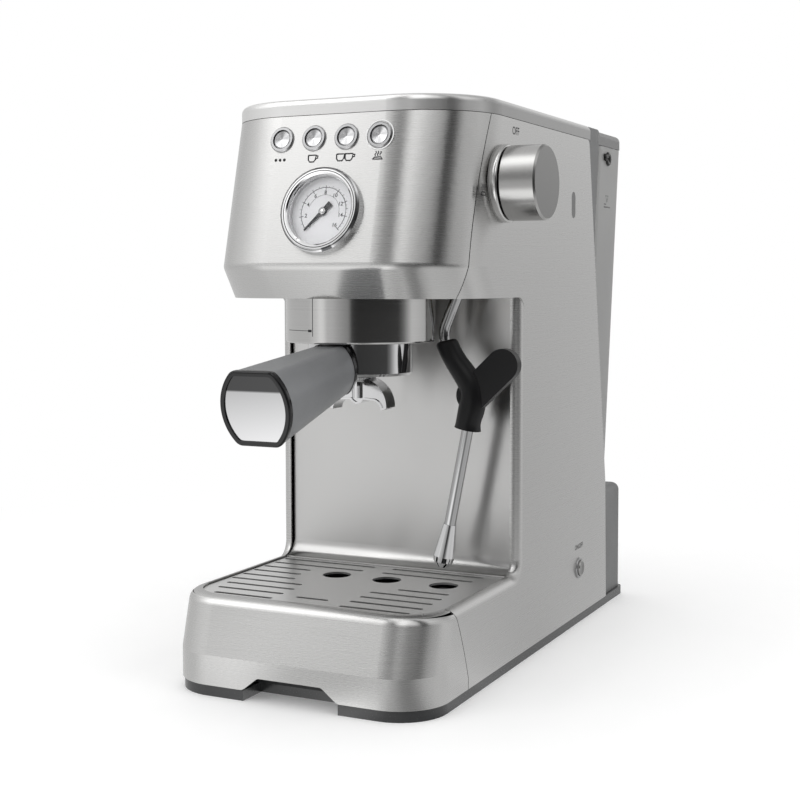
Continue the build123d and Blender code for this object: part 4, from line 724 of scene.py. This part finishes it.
# ---------------------------------------------------------------- floor
def floor_shader(t):
    """White far off, softly shaded close by; metal sees the tables in it, and a painted shadow in front of
    the machine's foot.
    """
    path = t.add("ShaderNodeLightPath")
    lit = t.add("ShaderNodeBsdfPrincipled", Base_Color=t.tint(t.noise(40.0), (0.90,) * 3, (0.92,) * 3),
                Roughness=0.6, Emission_Color=(1, 1, 1, 1), Emission_Strength=0.16)
    white = t.add("ShaderNodeEmission")
    away = t.measure("LENGTH", t.coords)
    far = t.remap(away, 0.22, 0.60, ease="SMOOTHSTEP")
    fading = t.choose(t.number("MULTIPLY", path.outputs["Is Camera Ray"], far),
                      lit.outputs[0], white.outputs[0])
    near_east, near_south, _ = compass(t, (0.04, -0.10, 0))
    east, south, _ = compass(t, (0.04, -0.16, 0))
    tone = blend(t, away, 0.50, 1.00, around(t, near_east, near_south, UNDER),
                 around(t, east, south, LEVEL))
    # Painted shadow: what metal sees of the floor is dimmed close to a point in front of the machine's
    # foot.
    painted_shadow_distance = t.measure("DISTANCE", t.coords, (0.0, -0.238, 0))
    strength = t.remap(painted_shadow_distance, 0.035, 0.075, 0.20 * BRIGHTEST, 1.02 * BRIGHTEST, "SMOOTHSTEP")
    reflected = t.add("ShaderNodeEmission", Color=tone, Strength=strength)
    share = t.number("MULTIPLY", path.outputs["Is Glossy Ray"], 0.97)
    return t.choose(share, fading, reflected.outputs[0])


def floor():
    t = Tree("floor")
    t.surface(floor_shader(t))
    bm = bmesh.new()
    bmesh.ops.create_circle(bm, cap_ends=True, segments=96, radius=12)
    mesh = bpy.data.meshes.new("floor")
    bm.to_mesh(mesh)
    bm.free()
    mesh.materials.append(t.owner)
    obj = bpy.data.objects.new("floor", mesh)
    bpy.context.scene.collection.objects.link(obj)


# ---------------------------------------------------------------- studio
class Room(Tree):
    """The world's node tree, which has the same short calls."""

    def __init__(self):
        world = bpy.data.worlds.new("studio")
        bpy.context.scene.world = world
        self.start(world, "ShaderNodeOutputWorld", "Generated")

    def background(self, colour, strength):
        return self.add("ShaderNodeBackground", Color=colour, Strength=strength).outputs[0]

    def grey(self, strength):
        return self.background((1, 1, 1, 1), strength)


def studio():
    """White to the camera, the tables in metal, and even grey for deep reflections and all the rest."""
    t = Room()
    path = t.add("ShaderNodeLightPath")
    east, south, up = compass(t)
    low = blend(t, up, 0.0, 0.22, around(t, east, south, LEVEL), around(t, east, south, RAISED))
    tone = blend(t, up, 0.34, 0.56, low, around(t, east, south, HIGH))
    deep = t.number("GREATER_THAN", path.outputs["Ray Depth"], 2.5)
    seen_in_metal = t.choose(deep, t.background(tone, BRIGHTEST), t.grey(0.72))
    lit = t.choose(path.outputs["Is Glossy Ray"], t.grey(0.82), seen_in_metal)
    t.surface(t.choose(path.outputs["Is Camera Ray"], lit, t.grey(1.0)))


def softbox(name, place, target, width, height, power):
    """A lamp that metal doesn't show."""
    light = bpy.data.lights.new(name, "AREA")
    light.shape = "RECTANGLE"
    light.size = width
    light.size_y = height
    light.energy = power
    obj = bpy.data.objects.new(name, light)
    obj.visible_glossy = False
    obj.location = place
    aim = Vector(target) - Vector(place)
    obj.rotation_euler = aim.to_track_quat("-Z", "Y").to_euler()
    bpy.context.scene.collection.objects.link(obj)


floor()
studio()
softbox("key", (-0.7, -1.3, 1.15), (0, -0.05, 0.2), 1.1, 0.9, 5)
softbox("side", (1.5, -0.4, 0.9), (0, 0, 0.15), 0.9, 1.2, 2.5)
softbox("top", (0.1, 0.1, 1.5), (0, 0, 0.1), 1.4, 1.4, 4)
bpy.context.scene.view_settings.view_transform = "Standard"
